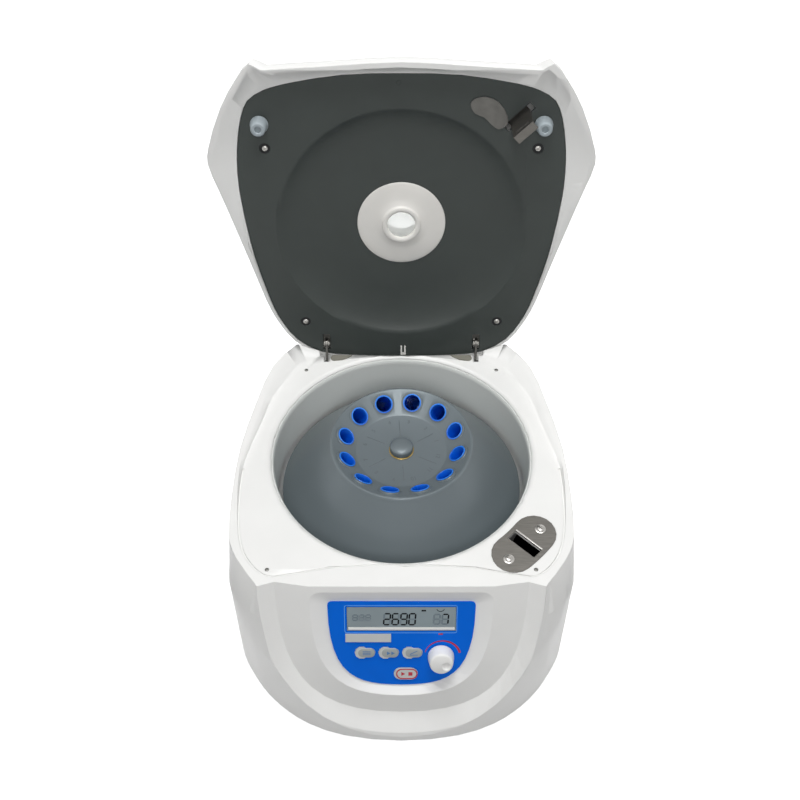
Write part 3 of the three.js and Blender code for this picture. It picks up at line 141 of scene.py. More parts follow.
class CENTRIFUGE_PG_finishes(PropertyGroup):
    shell: colour_property("Shell", "Colour of the white mouldings", 236, 236, 234)
    liner: colour_property("Liner", "Colour of the lid liner", 60, 65, 63)
    bowl: colour_property("Bowl", "Colour of the chamber bowl", 232, 234, 231)
    rotor: colour_property("Rotor", "Colour of the rotor", 108, 117, 121)
    sleeve: colour_property("Sleeve", "Colour of the tube sleeves", 0, 84, 205)
    # Painted highlight: the paler blue painted on the sleeves towards their lit mouths
    sleeve_mouth_highlight: colour_property("Sleeve mouth", "Colour of the sleeve mouths", 42, 132, 240)
    panel: colour_property("Panel", "Colour of the control panel", 0, 104, 222)
    prints: colour_property("Prints", "Colour of the red marks", 176, 26, 46)


class CENTRIFUGE_PG_rotor(PropertyGroup):
    tubes: IntProperty(name="Tubes", description="Tube places round the rotor", default=12, min=3)
    circle: length_property("Tube circle", "Radius of the circle of tube mouths", 61.6)
    rise: length_property("Mouth rise", "Height of the tube mouths over the deck", 11.35)
    lean: FloatProperty(
        name="Lean", description="Lean of the tubes", subtype="ANGLE", default=radians(37))
    phase: FloatProperty(
        name="Phase", description="Turn of the first tube", subtype="ANGLE", default=radians(18.7))
    sleeve_radius: length_property("Sleeve radius", "Outer radius of a sleeve", 9.2)
    sleeve_length: length_property("Sleeve length", "Length of a sleeve", 92)
    groove_length: length_property("Groove length", "Length of a groove on the disc", 21)


class CENTRIFUGE_PG_fixings(PropertyGroup):
    deck_head: length_property("Deck screw", "Head radius of the deck screws", 2.1)
    latch_head: length_property("Latch screw", "Head radius of the latch screws", 3.9)
    liner_head: length_property("Liner screw", "Head radius of the liner screws", 3.0)


class CENTRIFUGE_PG_stage(PropertyGroup):
    camera_height: length_property("Camera height", "Height of the camera", 1163.15)
    camera_distance: length_property("Camera distance", "How far in front it stands", 772.5)
    camera_dip: FloatProperty(
        name="Dip", description="How far down the camera looks", subtype="ANGLE",
        default=radians(49.15))
    lens: FloatProperty(name="Lens", description="Focal length in millimetres", default=51.75)


# Finishes
CLOUD_LOW, CLOUD_HIGH = 0.3, 0.7
COAT_ROUGHNESS = 0.08
PLASTIC_IOR = 1.46
GRAIN_DEPTH = 0.2
EDGE_SAMPLES = 4


def finish(name, colour, roughness, metallic=0.0, mottle=0.035, mottle_scale=28.0, grain=0.04,
           grain_scale=1400.0, stretch=(1.0, 1.0, 1.0), rounding=0.0, coat=0.0, clear=0.0,
           shine=0.5, vary=0.05, highlight_colour=None, climb=None):
    """A procedural finish in Object coordinates: cloudy tone, fine grain and softened edges."""
    material = bpy.data.materials.new(name)
    material.use_nodes = True
    nodes, links = material.node_tree.nodes, material.node_tree.links
    shader = nodes["Principled BSDF"]
    shader.inputs["Metallic"].default_value = metallic
    shader.inputs["Coat Weight"].default_value = coat
    shader.inputs["Coat Roughness"].default_value = COAT_ROUGHNESS
    shader.inputs["Transmission Weight"].default_value = clear
    shader.inputs["IOR"].default_value = PLASTIC_IOR
    shader.inputs["Specular IOR Level"].default_value = shine

    place = nodes.new("ShaderNodeTexCoord")
    spread = nodes.new("ShaderNodeMapping")
    spread.inputs["Scale"].default_value = stretch
    links.new(place.outputs["Object"], spread.inputs["Vector"])

    cloud = nodes.new("ShaderNodeTexNoise")
    cloud.inputs["Scale"].default_value = mottle_scale
    cloud.inputs["Detail"].default_value = 2
    links.new(spread.outputs["Vector"], cloud.inputs["Vector"])
    tone = nodes.new("ShaderNodeValToRGB")
    darker, lighter = tone.color_ramp.elements
    darker.position, lighter.position = CLOUD_LOW, CLOUD_HIGH
    darker.color = [c * (1 - mottle) for c in colour] + [1]
    lighter.color = [min(1, c * (1 + mottle)) for c in colour] + [1]
    links.new(cloud.outputs["Fac"], tone.inputs["Fac"])
    painted = tone.outputs["Color"]
    # Painted highlight: the colour turns lighter between two heights
    if highlight_colour is not None:
        painted = painted_highlight_by_height(nodes, links, place, painted, highlight_colour, climb)
    links.new(painted, shader.inputs["Base Color"])

    sheen = nodes.new("ShaderNodeMapRange")
    sheen.inputs["From Min"].default_value = CLOUD_LOW
    sheen.inputs["From Max"].default_value = CLOUD_HIGH
    sheen.inputs["To Min"].default_value = max(0.02, roughness - vary)
    sheen.inputs["To Max"].default_value = min(1, roughness + vary)
    links.new(cloud.outputs["Fac"], sheen.inputs["Value"])
    links.new(sheen.outputs["Result"], shader.inputs["Roughness"])

    speck = nodes.new("ShaderNodeTexNoise")
    speck.inputs["Scale"].default_value = grain_scale
    speck.inputs["Detail"].default_value = 2
    links.new(spread.outputs["Vector"], speck.inputs["Vector"])
    bump = nodes.new("ShaderNodeBump")
    bump.inputs["Strength"].default_value = min(1, grain * 4)
    bump.inputs["Distance"].default_value = GRAIN_DEPTH * MM
    links.new(speck.outputs["Fac"], bump.inputs["Height"])
    if rounding:
        softened = nodes.new("ShaderNodeBevel")
        softened.samples = EDGE_SAMPLES
        softened.inputs["Radius"].default_value = rounding * MM
        links.new(softened.outputs["Normal"], bump.inputs["Normal"])
    links.new(bump.outputs["Normal"], shader.inputs["Normal"])
    return material


def painted_highlight_by_height(nodes, links, place, painted, highlight_colour, climb):
    """Painted highlight: turns the colour into highlight_colour between two heights of the row
    frame.
    """
    parts = nodes.new("ShaderNodeSeparateXYZ")
    links.new(place.outputs["Object"], parts.inputs["Vector"])
    height = nodes.new("ShaderNodeMapRange")
    height.interpolation_type = "SMOOTHSTEP"
    height.inputs["From Min"].default_value = climb[0]
    height.inputs["From Max"].default_value = climb[1]
    links.new(parts.outputs["Z"], height.inputs["Value"])
    blend = nodes.new("ShaderNodeMix")
    blend.data_type = "RGBA"
    share, first, second, result = 0, 6, 7, 2  # the colour sockets of a Mix node
    links.new(height.outputs["Result"], blend.inputs[share])
    links.new(painted, blend.inputs[first])
    blend.inputs[second].default_value = [*highlight_colour, 1]
    return blend.outputs[result]


# The finishes, by name
finishes = {}


def make_finishes(wanted):
    """Fills the finishes; the sleeves get a painted highlight that makes them paler towards their
    mouths.
    """
    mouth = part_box("tube_sleeve_1")[1].z
    paler_from, paler_to = mouth - 16 * MM, mouth - 4 * MM
    finishes.update(
        white_shell=finish("white_shell", wanted.shell, 0.36, mottle=0.012, grain=0.02,
                           grain_scale=2200, rounding=1.0),
        liner_grey=finish("liner_grey", wanted.liner, 0.4, mottle=0.05, grain=0.06,
                          grain_scale=1500, rounding=0.8, shine=0.32),
        chamber_grey=finish("chamber_grey", wanted.bowl, 0.34, mottle=0.015, mottle_scale=9,
                            grain=0.02, rounding=0.8, vary=0.02),
        rotor_grey=finish("rotor_grey", wanted.rotor, 0.32, metallic=0.15, mottle=0.015,
                          mottle_scale=14, grain=0.03, grain_scale=2600, rounding=0.6, vary=0.02,
                          shine=0.3),
        # The sleeves carry a painted highlight, paler towards their mouths
        sleeve_blue=finish("sleeve_blue", wanted.sleeve, 0.28, mottle=0.06, rounding=0.3, coat=0.3,
                           highlight_colour=wanted.sleeve_mouth_highlight, climb=(paler_from, paler_to)),
        panel_blue=finish("panel_blue", wanted.panel, 0.45, mottle=0.02, mottle_scale=60,
                          grain=0.02, grain_scale=2400, shine=0.12),
        display=finish("display", colour_of(112, 128, 134), 0.22, mottle=0.12, mottle_scale=18,
                       grain=0.0, coat=0.6),
        steel=finish("steel", colour_of(168, 166, 162), 0.34, metallic=1.0, mottle=0.1,
                     mottle_scale=90, grain=0.06, grain_scale=300, stretch=(1, 9, 9), rounding=0.4),
        dark_steel=finish("dark_steel", colour_of(92, 91, 88), 0.36, metallic=0.9, mottle=0.1,
                          mottle_scale=90, grain=0.05, grain_scale=300, rounding=0.5),
        plate_steel=finish("plate_steel", colour_of(97, 95, 91), 0.42, metallic=0.9, mottle=0.12,
                           mottle_scale=70, grain=0.06, grain_scale=300, stretch=(1, 9, 1),
                           rounding=0.5),
        brass=finish("brass", colour_of(196, 168, 104), 0.3, metallic=1.0, mottle=0.08,
                     rounding=0.2),
        black_plastic=finish("black_plastic", colour_of(30, 31, 32), 0.45, mottle=0.1,
                             grain=0.05, rounding=0.4),
        rubber=finish("rubber", colour_of(38, 39, 40), 0.85, mottle=0.15, grain=0.12,
                      grain_scale=900),
        buffer=finish("buffer", colour_of(158, 168, 173), 0.5, mottle=0.05, grain=0.03,
                      rounding=0.8),
        clear=finish("clear", colour_of(250, 252, 250), 0.05, mottle=0.01, grain=0.0, clear=0.6),
        pale_plastic=finish("pale_plastic", colour_of(230, 228, 223), 0.34, mottle=0.03,
                            grain=0.02, rounding=0.5),
        board=finish("board", colour_of(28, 92, 58), 0.45, mottle=0.25, mottle_scale=220,
                     grain=0.05, coat=0.3),
        key_grey=finish("key_grey", colour_of(196, 199, 198), 0.42, mottle=0.03, grain=0.03,
                        rounding=0.5),
        pill_grey=finish("pill_grey", colour_of(158, 163, 162), 0.4, mottle=0.03, grain=0.02),
        red_print=finish("red_print", wanted.prints, 0.42, mottle=0.05, grain=0.02),
        blue_print=finish("blue_print", colour_of(74, 118, 168), 0.42, mottle=0.05, grain=0.02),
        line_print=finish("line_print", colour_of(96, 168, 240), 0.4, mottle=0.04, grain=0.02),
        digit_ink=finish("digit_ink", colour_of(12, 15, 18), 0.5, mottle=0.08, grain=0.0,
                         shine=0.1),
        ghost_ink=finish("ghost_ink", colour_of(92, 107, 116), 0.3, mottle=0.05, grain=0.0),
        # Coloured darker than the rotor, for the ribs and figures on its disc
        dark_print=finish("dark_print", colour_of(88, 96, 100), 0.4, mottle=0.04, grain=0.02),
        pad_olive=finish("pad_olive", colour_of(122, 120, 110), 0.55, mottle=0.08, grain=0.05,
                         rounding=0.4),
        screw_dark=finish("screw_dark", colour_of(120, 120, 116), 0.38, metallic=1.0, mottle=0.1,
                          grain=0.04, rounding=0.2),
    )


# Mesh helpers
WELD = 0.01
FLAT_ANGLE = 0.4
SMOOTH_ANGLE = 35


def piece(name, mesh_source, body, finish_name, replaced=(), place=None, angle=SMOOTH_ANGLE):
    """Makes one finished piece of a bmesh drawn in millimetres, and rides it on its body."""
    mesh = bpy.data.meshes.new(name)
    if place is not None:
        mesh_source.transform(place @ Matrix.Scale(MM, 4))
    mesh_source.to_mesh(mesh)
    mesh_source.free()
    return dress(bpy.data.objects.new(name, mesh), body, finish_name, replaced, angle)


def dress(item, body, finish_name, replaced, angle):
    """Gives a new object its finish, its smooth faces, its body and the nodes it stands for."""
    bpy.context.scene.collection.objects.link(item)
    mesh = item.data
    mesh.materials.clear()
    mesh.materials.append(finishes[finish_name])
    mesh.shade_smooth()
    mesh.set_sharp_from_angle(angle=radians(angle))
    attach(item, body)
    if replaced:
        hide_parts(*replaced)
    return item


def smoothed(node, finish_name, angle):
    """A welded copy of a CAD node with even shading, which stands for it."""
    source = frame["nodes"][node]
    work = bmesh.new()
    work.from_mesh(source.data)
    bmesh.ops.remove_doubles(work, verts=work.verts, dist=WELD * MM)
    bmesh.ops.dissolve_limit(
        work, angle_limit=radians(FLAT_ANGLE), verts=work.verts, edges=work.edges,
        delimit={"NORMAL"})
    item = piece(node + "_skin", work, source["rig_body"], finish_name, (node,), angle=angle)
    even = item.modifiers.new("even_shading", "WEIGHTED_NORMAL")
    even.keep_sharp = True
    return item


def paint_node(name, finish_name):
    """Gives a CAD node that stays as it is its finish."""
    materials = frame["nodes"][name].data.materials
    materials.clear()
    materials.append(finishes[finish_name])


def spun(profile, segments=96):
    """A closed solid of revolution round z, from points (radius, height) in order."""
    work = bmesh.new()
    rings = []
    for radius, height in profile:
        if radius < 1e-6:
            rings.append([work.verts.new((0, 0, height))])
            continue
        turns = [tau * i / segments for i in range(segments)]
        rings.append([
            work.verts.new((radius * cos(turn), radius * sin(turn), height)) for turn in turns])
    closed = all(len(ring) > 1 for ring in (rings[0], rings[-1]))
    pairs = list(zip(rings, rings[1:])) + ([(rings[-1], rings[0])] if closed else [])
    for low, high in pairs:
        if len(low) == 1 and len(high) == 1:
            continue
        for i in range(segments):
            j = (i + 1) % segments
            below, above = len(low), len(high)
            corners = [low[i % below], low[j % below], high[j % above], high[i % above]]
            work.faces.new(list(dict.fromkeys(corners)))
    bmesh.ops.recalc_face_normals(work, faces=work.faces)
    return work


def arc_points(centre, radius, start, end, steps):
    """Points on an arc, from one angle to another, in degrees."""
    turns = [radians(start + (end - start) * i / steps) for i in range(steps + 1)]
    return [(centre[0] + radius * cos(turn), centre[1] + radius * sin(turn)) for turn in turns]


def prism(points, low, high, work=None):
    """A closed plate between two heights, over an outline in the plane."""
    work = work or bmesh.new()
    foot = [work.verts.new((x, y, low)) for x, y in points]
    head = [work.verts.new((x, y, high)) for x, y in points]
    faces = [work.faces.new(list(reversed(foot))), work.faces.new(head)]
    for i in range(len(points)):
        j = (i + 1) % len(points)
        faces.append(work.faces.new([foot[i], foot[j], head[j], head[i]]))
    bmesh.ops.recalc_face_normals(work, faces=faces)
    return work


def band(points, width, low, high, closed=True, work=None, taper=None):
    """A flat strip that follows a line, as a closed solid; a taper gives its end half-widths."""
    work = work or bmesh.new()
    count = len(points)
    sides = []
    for i, point in enumerate(points):
        before = points[i - 1] if closed or i else point
        after = points[(i + 1) % count] if closed or i < count - 1 else point
        along = Vector((after[0] - before[0], after[1] - before[1])).normalized()
        half = width / 2 if taper is None else taper[0] + (taper[1] - taper[0]) * i / (count - 1)
        across = Vector((-along.y, along.x)) * half
        sides.append((Vector(point) + across, Vector(point) - across))
    rows = [[work.verts.new((*spot, z)) for spot, z in
             ((left, low), (right, low), (right, high), (left, high))] for left, right in sides]
    faces = []
    for i in range(count if closed else count - 1):
        here, there = rows[i], rows[(i + 1) % count]
        for k in range(4):
            faces.append(work.faces.new([here[k], here[(k + 1) % 4], there[(k + 1) % 4], there[k]]))
    if not closed:
        faces += [work.faces.new(rows[0]), work.faces.new(rows[-1])]
    bmesh.ops.recalc_face_normals(work, faces=faces)
    return work


def box_outline(x0, x1, y0, y1):
    """The outline of a plain box."""
    return [(x0, y0), (x1, y0), (x1, y1), (x0, y1)]


def rounded_box(x0, x1, y0, y1, corner, steps=6):
    """The outline of a box with rounded corners."""
    corners = [(x1 - corner, y1 - corner, 0), (x0 + corner, y1 - corner, 90),
               (x0 + corner, y0 + corner, 180), (x1 - corner, y0 + corner, 270)]
    return [point for x, y, turn in corners
            for point in arc_points((x, y), corner, turn, turn + 90, steps)]


LEAST_CORNER = 0.05


def cushion_block(x0, x1, y0, y1, z0, z1, corner, crown):
    """A block with rounded plan corners and a rounded top edge."""
    work = bmesh.new()
    layers = [(0, z0), (0, z1 - crown), (crown * 0.3, z1 - crown * 0.3), (crown, z1)]
    rows = []
    for inset, z in layers:
        line = rounded_box(x0 + inset, x1 - inset, y0 + inset, y1 - inset,
                           max(LEAST_CORNER, corner - inset))
        rows.append([work.verts.new((x, y, z)) for x, y in line])
    for low, high in zip(rows, rows[1:]):
        for i in range(len(low)):
            j = (i + 1) % len(low)
            work.faces.new([low[i], low[j], high[j], high[i]])
    work.faces.new(list(reversed(rows[0])))
    work.faces.new(rows[-1])
    bmesh.ops.recalc_face_normals(work, faces=work.faces)
    return work


def joined_bmesh(*parts):
    """Several bmeshes as one."""
    work = bmesh.new()
    for part in parts:
        mesh = bpy.data.meshes.new("part")
        part.to_mesh(mesh)
        part.free()
        work.from_mesh(mesh)
        bpy.data.meshes.remove(mesh)
    return work


def carved(base, tools, operation="DIFFERENCE"):
    """The base bmesh with each tool bmesh cut away, or joined on, as a new bmesh."""
    holder = bpy.data.objects.new("base", bpy.data.meshes.new("base"))
    base.to_mesh(holder.data)
    base.free()
    bpy.context.scene.collection.objects.link(holder)
    knives = []
    for tool in tools:
        knife = bpy.data.objects.new("knife", bpy.data.meshes.new("knife"))
        tool.to_mesh(knife.data)
        tool.free()
        bpy.context.scene.collection.objects.link(knife)
        step = holder.modifiers.new("carve", "BOOLEAN")
        step.operation = operation
        step.solver = "EXACT"
        step.object = knife
        knives.append(knife)
    work = bmesh.new()
    work.from_mesh(evaluated_mesh(holder))
    for item in [holder, *knives]:
        bpy.data.objects.remove(item)
    return work


def evaluated_mesh(item):
    """The mesh of an object with its modifiers applied."""
    bpy.context.view_layer.update()
    depsgraph = bpy.context.evaluated_depsgraph_get()
    return bpy.data.meshes.new_from_object(item.evaluated_get(depsgraph), depsgraph=depsgraph)


def lettered(text, size, thick, place):
    """Plain figures as a bmesh of solids, centred on a place."""
    curve = bpy.data.curves.new("figures", "FONT")
    curve.body = text
    curve.size = size
    curve.extrude = thick / 2
    curve.align_x = "CENTER"
    curve.align_y = "CENTER"
    curve.resolution_u = 3
    item = bpy.data.objects.new("figures", curve)
    bpy.context.scene.collection.objects.link(item)
    work = bmesh.new()
    work.from_mesh(evaluated_mesh(item))
    bpy.data.objects.remove(item)
    work.transform(place)
    return work


# Geometry node trees
class Tree:
    """A geometry node tree with named inputs that ends in Realize Instances and Set Material."""

    def __init__(self, name):
        self.group = bpy.data.node_groups.new(name, "GeometryNodeTree")
        self.sockets = {}
        self.add_input("Piece", "NodeSocketGeometry")
        self.group.interface.new_socket(
            name="Geometry", in_out="OUTPUT", socket_type="NodeSocketGeometry")
        self.source = self.group.nodes.new("NodeGroupInput")

    def add_input(self, name, kind, default=None):
        socket = self.group.interface.new_socket(name=name, in_out="INPUT", socket_type=kind)
        if default is not None:
            socket.default_value = default
        self.sockets[name] = socket.identifier

    def node(self, kind, **values):
        node = self.group.nodes.new(kind)
        for key, value in values.items():
            setattr(node, key, value)
        return node

    def link(self, start, end):
        self.group.links.new(start, end)

    def end(self, geometry):
        real = self.node("GeometryNodeRealizeInstances")
        paint = self.node("GeometryNodeSetMaterial")
        sink = self.node("NodeGroupOutput")
        self.link(geometry, real.inputs["Geometry"])
        self.link(real.outputs["Geometry"], paint.inputs["Geometry"])
        self.link(self.source.outputs["Finish"], paint.inputs["Material"])
        self.link(paint.outputs["Geometry"], sink.inputs["Geometry"])

    def run(self, work, values):
        """The evaluated result of the tree on a bmesh, as a new bmesh."""
        holder = bpy.data.objects.new("holder", bpy.data.meshes.new("holder"))
        work.to_mesh(holder.data)
        work.free()
        bpy.context.scene.collection.objects.link(holder)
        step = holder.modifiers.new("set_out", "NODES")
        step.node_group = self.group
        for name, value in values.items():
            step[self.sockets[name]] = value
        result = evaluated_mesh(holder)
        holder.modifiers.remove(step)
        bpy.data.objects.remove(holder)
        made = bmesh.new()
        made.from_mesh(result)
        return made


def round_tree():
    """Sets copies of the piece round a circle, each leaning in towards the axis."""
    tree = Tree("set_round_a_circle")
    tree.add_input("Count", "NodeSocketInt", 12)
    tree.add_input("Radius", "NodeSocketFloat", 60.0)
    tree.add_input("Lean", "NodeSocketFloat", 0.0)
    tree.add_input("Phase", "NodeSocketFloat", 0.0)
    tree.add_input("Rise", "NodeSocketFloat", 0.0)
    tree.add_input("Finish", "NodeSocketMaterial")
    source = tree.source.outputs
    circle = tree.node("GeometryNodeMeshCircle")
    tree.link(source["Count"], circle.inputs["Vertices"])
    tree.link(source["Radius"], circle.inputs["Radius"])
    index = tree.node("GeometryNodeInputIndex")
    share = tree.node("ShaderNodeMath", operation="DIVIDE")
    share.inputs[0].default_value = tau
    tree.link(source["Count"], share.inputs[1])
    turn = tree.node("ShaderNodeMath", operation="MULTIPLY")
    tree.link(index.outputs["Index"], turn.inputs[0])
    tree.link(share.outputs["Value"], turn.inputs[1])
    inward = tree.node("ShaderNodeMath", operation="MULTIPLY")
    inward.inputs[1].default_value = -1
    tree.link(source["Lean"], inward.inputs[0])
    euler = tree.node("ShaderNodeCombineXYZ")
    tree.link(inward.outputs["Value"], euler.inputs["Y"])
    tree.link(turn.outputs["Value"], euler.inputs["Z"])
    turned = tree.node("FunctionNodeEulerToRotation")
    tree.link(euler.outputs["Vector"], turned.inputs[0])
    copies = tree.node("GeometryNodeInstanceOnPoints")
    tree.link(circle.outputs["Mesh"], copies.inputs["Points"])
    tree.link(source["Piece"], copies.inputs["Instance"])
    tree.link(turned.outputs[0], copies.inputs["Rotation"])
    offset = tree.node("ShaderNodeCombineXYZ")
    tree.link(source["Rise"], offset.inputs["Z"])
    phase = tree.node("ShaderNodeCombineXYZ")
    tree.link(source["Phase"], phase.inputs["Z"])
    phase_turn = tree.node("FunctionNodeEulerToRotation")
    tree.link(phase.outputs["Vector"], phase_turn.inputs[0])
    placed = tree.node("GeometryNodeTransform")
    tree.link(copies.outputs["Instances"], placed.inputs["Geometry"])
    tree.link(offset.outputs["Vector"], placed.inputs["Translation"])
    tree.link(phase_turn.outputs[0], placed.inputs["Rotation"])
    tree.end(placed.outputs["Geometry"])
    return tree


def row_tree():
    """Sets copies of the piece in a straight row, centred on the origin."""
    tree = Tree("set_in_a_row")
    tree.add_input("Count", "NodeSocketInt", 9)
    tree.add_input("Pitch", "NodeSocketVector")
    tree.add_input("Finish", "NodeSocketMaterial")
    source = tree.source.outputs
    half = tree.node("ShaderNodeMath", operation="MULTIPLY_ADD")
    half.inputs[1].default_value = -0.5
    half.inputs[2].default_value = 0.5
    tree.link(source["Count"], half.inputs[0])
    start = tree.node("ShaderNodeVectorMath", operation="SCALE")
    tree.link(source["Pitch"], start.inputs[0])
    tree.link(half.outputs["Value"], start.inputs["Scale"])
    line = tree.node("GeometryNodeMeshLine")
    tree.link(source["Count"], line.inputs["Count"])
    tree.link(start.outputs["Vector"], line.inputs["Start Location"])
    tree.link(source["Pitch"], line.inputs["Offset"])
    copies = tree.node("GeometryNodeInstanceOnPoints")
    tree.link(line.outputs["Mesh"], copies.inputs["Points"])
    tree.link(source["Piece"], copies.inputs["Instance"])
    tree.end(copies.outputs["Instances"])
    return tree


def places_tree():
    """Sets a screw at each vertex of the piece, turned by the vertex's own turn."""
    tree = Tree("set_at_places")
    tree.add_input("Screw", "NodeSocketObject")
    tree.add_input("Finish", "NodeSocketMaterial")
    source = tree.source.outputs
    screw = tree.node("GeometryNodeObjectInfo")
    tree.link(source["Screw"], screw.inputs["Object"])
    turn = tree.node("GeometryNodeInputNamedAttribute", data_type="FLOAT_VECTOR")
    turn.inputs["Name"].default_value = "turn"
    turned = tree.node("FunctionNodeEulerToRotation")
    tree.link(turn.outputs["Attribute"], turned.inputs[0])
    copies = tree.node("GeometryNodeInstanceOnPoints")
    tree.link(source["Piece"], copies.inputs["Points"])
    tree.link(screw.outputs["Geometry"], copies.inputs["Instance"])
    tree.link(turned.outputs[0], copies.inputs["Rotation"])
    tree.end(copies.outputs["Instances"])
    return tree


trees = {}


def make_trees():
    trees.update(round=round_tree(), row=row_tree(), places=places_tree())


def set_round(work, count, radius, finish_name, lean=0.0, phase=0.0, rise=0.0):
    """Copies of a solid on a circle, as one bmesh."""
    return trees["round"].run(work, {
        "Count": count, "Radius": float(radius), "Lean": float(lean), "Phase": float(phase),
        "Rise": float(rise), "Finish": finishes[finish_name]})


def set_row(work, count, pitch, finish_name):
    """Copies of a solid in a straight row, as one bmesh."""
    return trees["row"].run(work, {"Count": count, "Pitch": pitch, "Finish": finishes[finish_name]})


WASHER_THICK = 0.6


def set_screws(places, radius, finish_name, washer=0.0):
    """Cross-head screws at places (x, y, z, turn), looking along +z."""
    return set_at(places, screw_solid(radius, washer), finish_name)


def set_at(places, solid, finish_name):
    """Copies of a solid at places (x, y, z, turn)."""
    work = bmesh.new()
    turns = work.verts.layers.float_vector.new("turn")
    for x, y, z, turn in places:
        work.verts.new((x, y, z))[turns] = (0, 0, turn)
    screw = bpy.data.objects.new("screw", bpy.data.meshes.new("screw"))
    solid.to_mesh(screw.data)
    solid.free()
    bpy.context.scene.collection.objects.link(screw)
    made = trees["places"].run(work, {"Screw": screw, "Finish": finishes[finish_name]})
    bpy.data.objects.remove(screw)
    return made


def screw_solid(radius, washer):
    """A pan head with a cross recess, its seat at zero, on a washer where one is asked for."""
    seat = WASHER_THICK if washer else 0.0
    rise = radius * 0.55
    dome = [(radius * cos(radians(a)), seat + rise * 0.35 + rise * 0.65 * sin(radians(a)))
            for a in range(0, 90, 18)]
    head = spun([(0, seat - 0.2), (radius * 0.96, seat - 0.2), (radius, seat + rise * 0.2), *dome,
                 (0, seat + rise)], segments=32)
    arm, half = radius * 0.56, radius * 0.13
    cross = [(arm, half), (half, half), (half, arm),
             (-half, arm), (-half, half), (-arm, half),
             (-arm, -half), (-half, -half), (-half, -arm),
             (half, -arm), (half, -half), (arm, -half)]
    head = carved(head, [prism(cross, seat + rise * 0.35, seat + rise * 2)])
    if not washer:
        return head
    plate = spun([(radius * 0.4, 0), (washer, 0), (washer, seat * 0.7), (washer - 0.3, seat),
                  (radius * 0.4, seat)], segments=40)
    return joined_bmesh(head, plate)


# Operators
FOLD_DEPTHS = (-9, 0.4)
FOLD_ANGLE = 9


class CENTRIFUGE_OT_body(Operator):
    """Dresses the white body, the tray under it and its feet"""

    bl_idname = "centrifuge.body"
    bl_label = "Body"

    def execute(self, context):
        self.crease(smoothed("upper_housing", "white_shell", angle=32))
        smoothed("base_tray", "black_plastic", angle=30)
        for side in ("front_left", "front_right", "rear_left", "rear_right"):
            self.foot("foot_" + side)
        return {"FINISHED"}

    def crease(self, skin):
        """Marks the fold lines of the pocket and the valley in the fascia"""
        shape = bmesh.new()
        shape.from_mesh(skin.data)
        to_fascia = FASCIA.inverted()
        depth = [(to_fascia @ vert.co).z / MM for vert in shape.verts]
        deepest, highest = FOLD_DEPTHS
        for edge in shape.edges:
            near = all(deepest < depth[vert.index] < highest for vert in edge.verts)
            folded = len(edge.link_faces) == 2 and edge.calc_face_angle(0) > radians(FOLD_ANGLE)
            if near and folded:
                edge.smooth = False
        shape.to_mesh(skin.data)
        shape.free()

    def foot(self, node):
        """A rubber foot with the head of its screw in a hollow underneath"""
        low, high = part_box(node)
        middle = (low + high) / 2
        radius = (high.x - low.x) / 2 / MM
        rise = (high.z - low.z) / MM
        hollow, head = 3.6, 3.4
        profile = [(0, hollow), (radius * 0.45, hollow), (radius * 0.5, 0), (radius - 2.4, 0),
                   (radius - 1.5, 0.7), (radius - 0.2, rise - 1.4), (radius, rise - 0.6),
                   (radius, rise), (0, rise)]
        place = Matrix.Translation((middle.x, middle.y, low.z))
        piece(node + "_pad", spun(profile, segments=48), "base", "rubber", (node,), place)
        screw = set_screws([(0, 0, -hollow - 0.1, 0.4)], head, "steel")
        flipped = place @ Matrix.Rotation(pi, 4, "X")
        piece(node + "_screw", screw, "base", "steel", (), flipped)


class CENTRIFUGE_OT_chamber(Operator):
    """Turns the chamber bowl with its rolled corner and the flange it hangs from"""

    bl_idname = "centrifuge.chamber"
    bl_label = "Chamber"

    def execute(self, context):
        wall, inner, floor, corner = 2.2, 137.6, -88, 24
        shaft_hole, flat, lip = 28, 60, -3.5
        turn_centre = (inner - corner, floor + corner)
        inside = arc_points(turn_centre, corner, -90, 0, 12)
        outside = arc_points(turn_centre, corner + wall, 0, -90, 12)
        profile = [(shaft_hole, floor), (flat, floor), *inside, (inner, lip - 6),
                   (inner + 0.3, lip - 3.5), (inner + 1, lip - 1.1), (inner + 1.7, lip),
                   (inner + wall, lip), *outside, (flat, floor - wall), (shaft_hole, floor - wall)]
        bowl = spun(profile, segments=144)
        ring, rim, under, over, cut_back = 139.3, 147, -6.3, -3.8, 138.8
        flange = spun([(ring, under), (rim, under), (rim, over), (ring, over)], segments=144)
        cut = bmesh.ops.bisect_plane(
            flange, geom=flange.verts[:] + flange.edges[:] + flange.faces[:],
            plane_co=(0, cut_back, 0), plane_no=(0, 1, 0), clear_outer=True)
        edges = [item for item in cut["geom_cut"] if isinstance(item, bmesh.types.BMEdge)]
        bmesh.ops.edgeloop_fill(flange, edges=edges)
        bmesh.ops.recalc_face_normals(flange, faces=flange.faces)
        piece("chamber_bowl_skin", joined_bmesh(bowl, flange), "base", "chamber_grey",
              ("chamber_bowl",), DECK, angle=50)
        return {"FINISHED"}


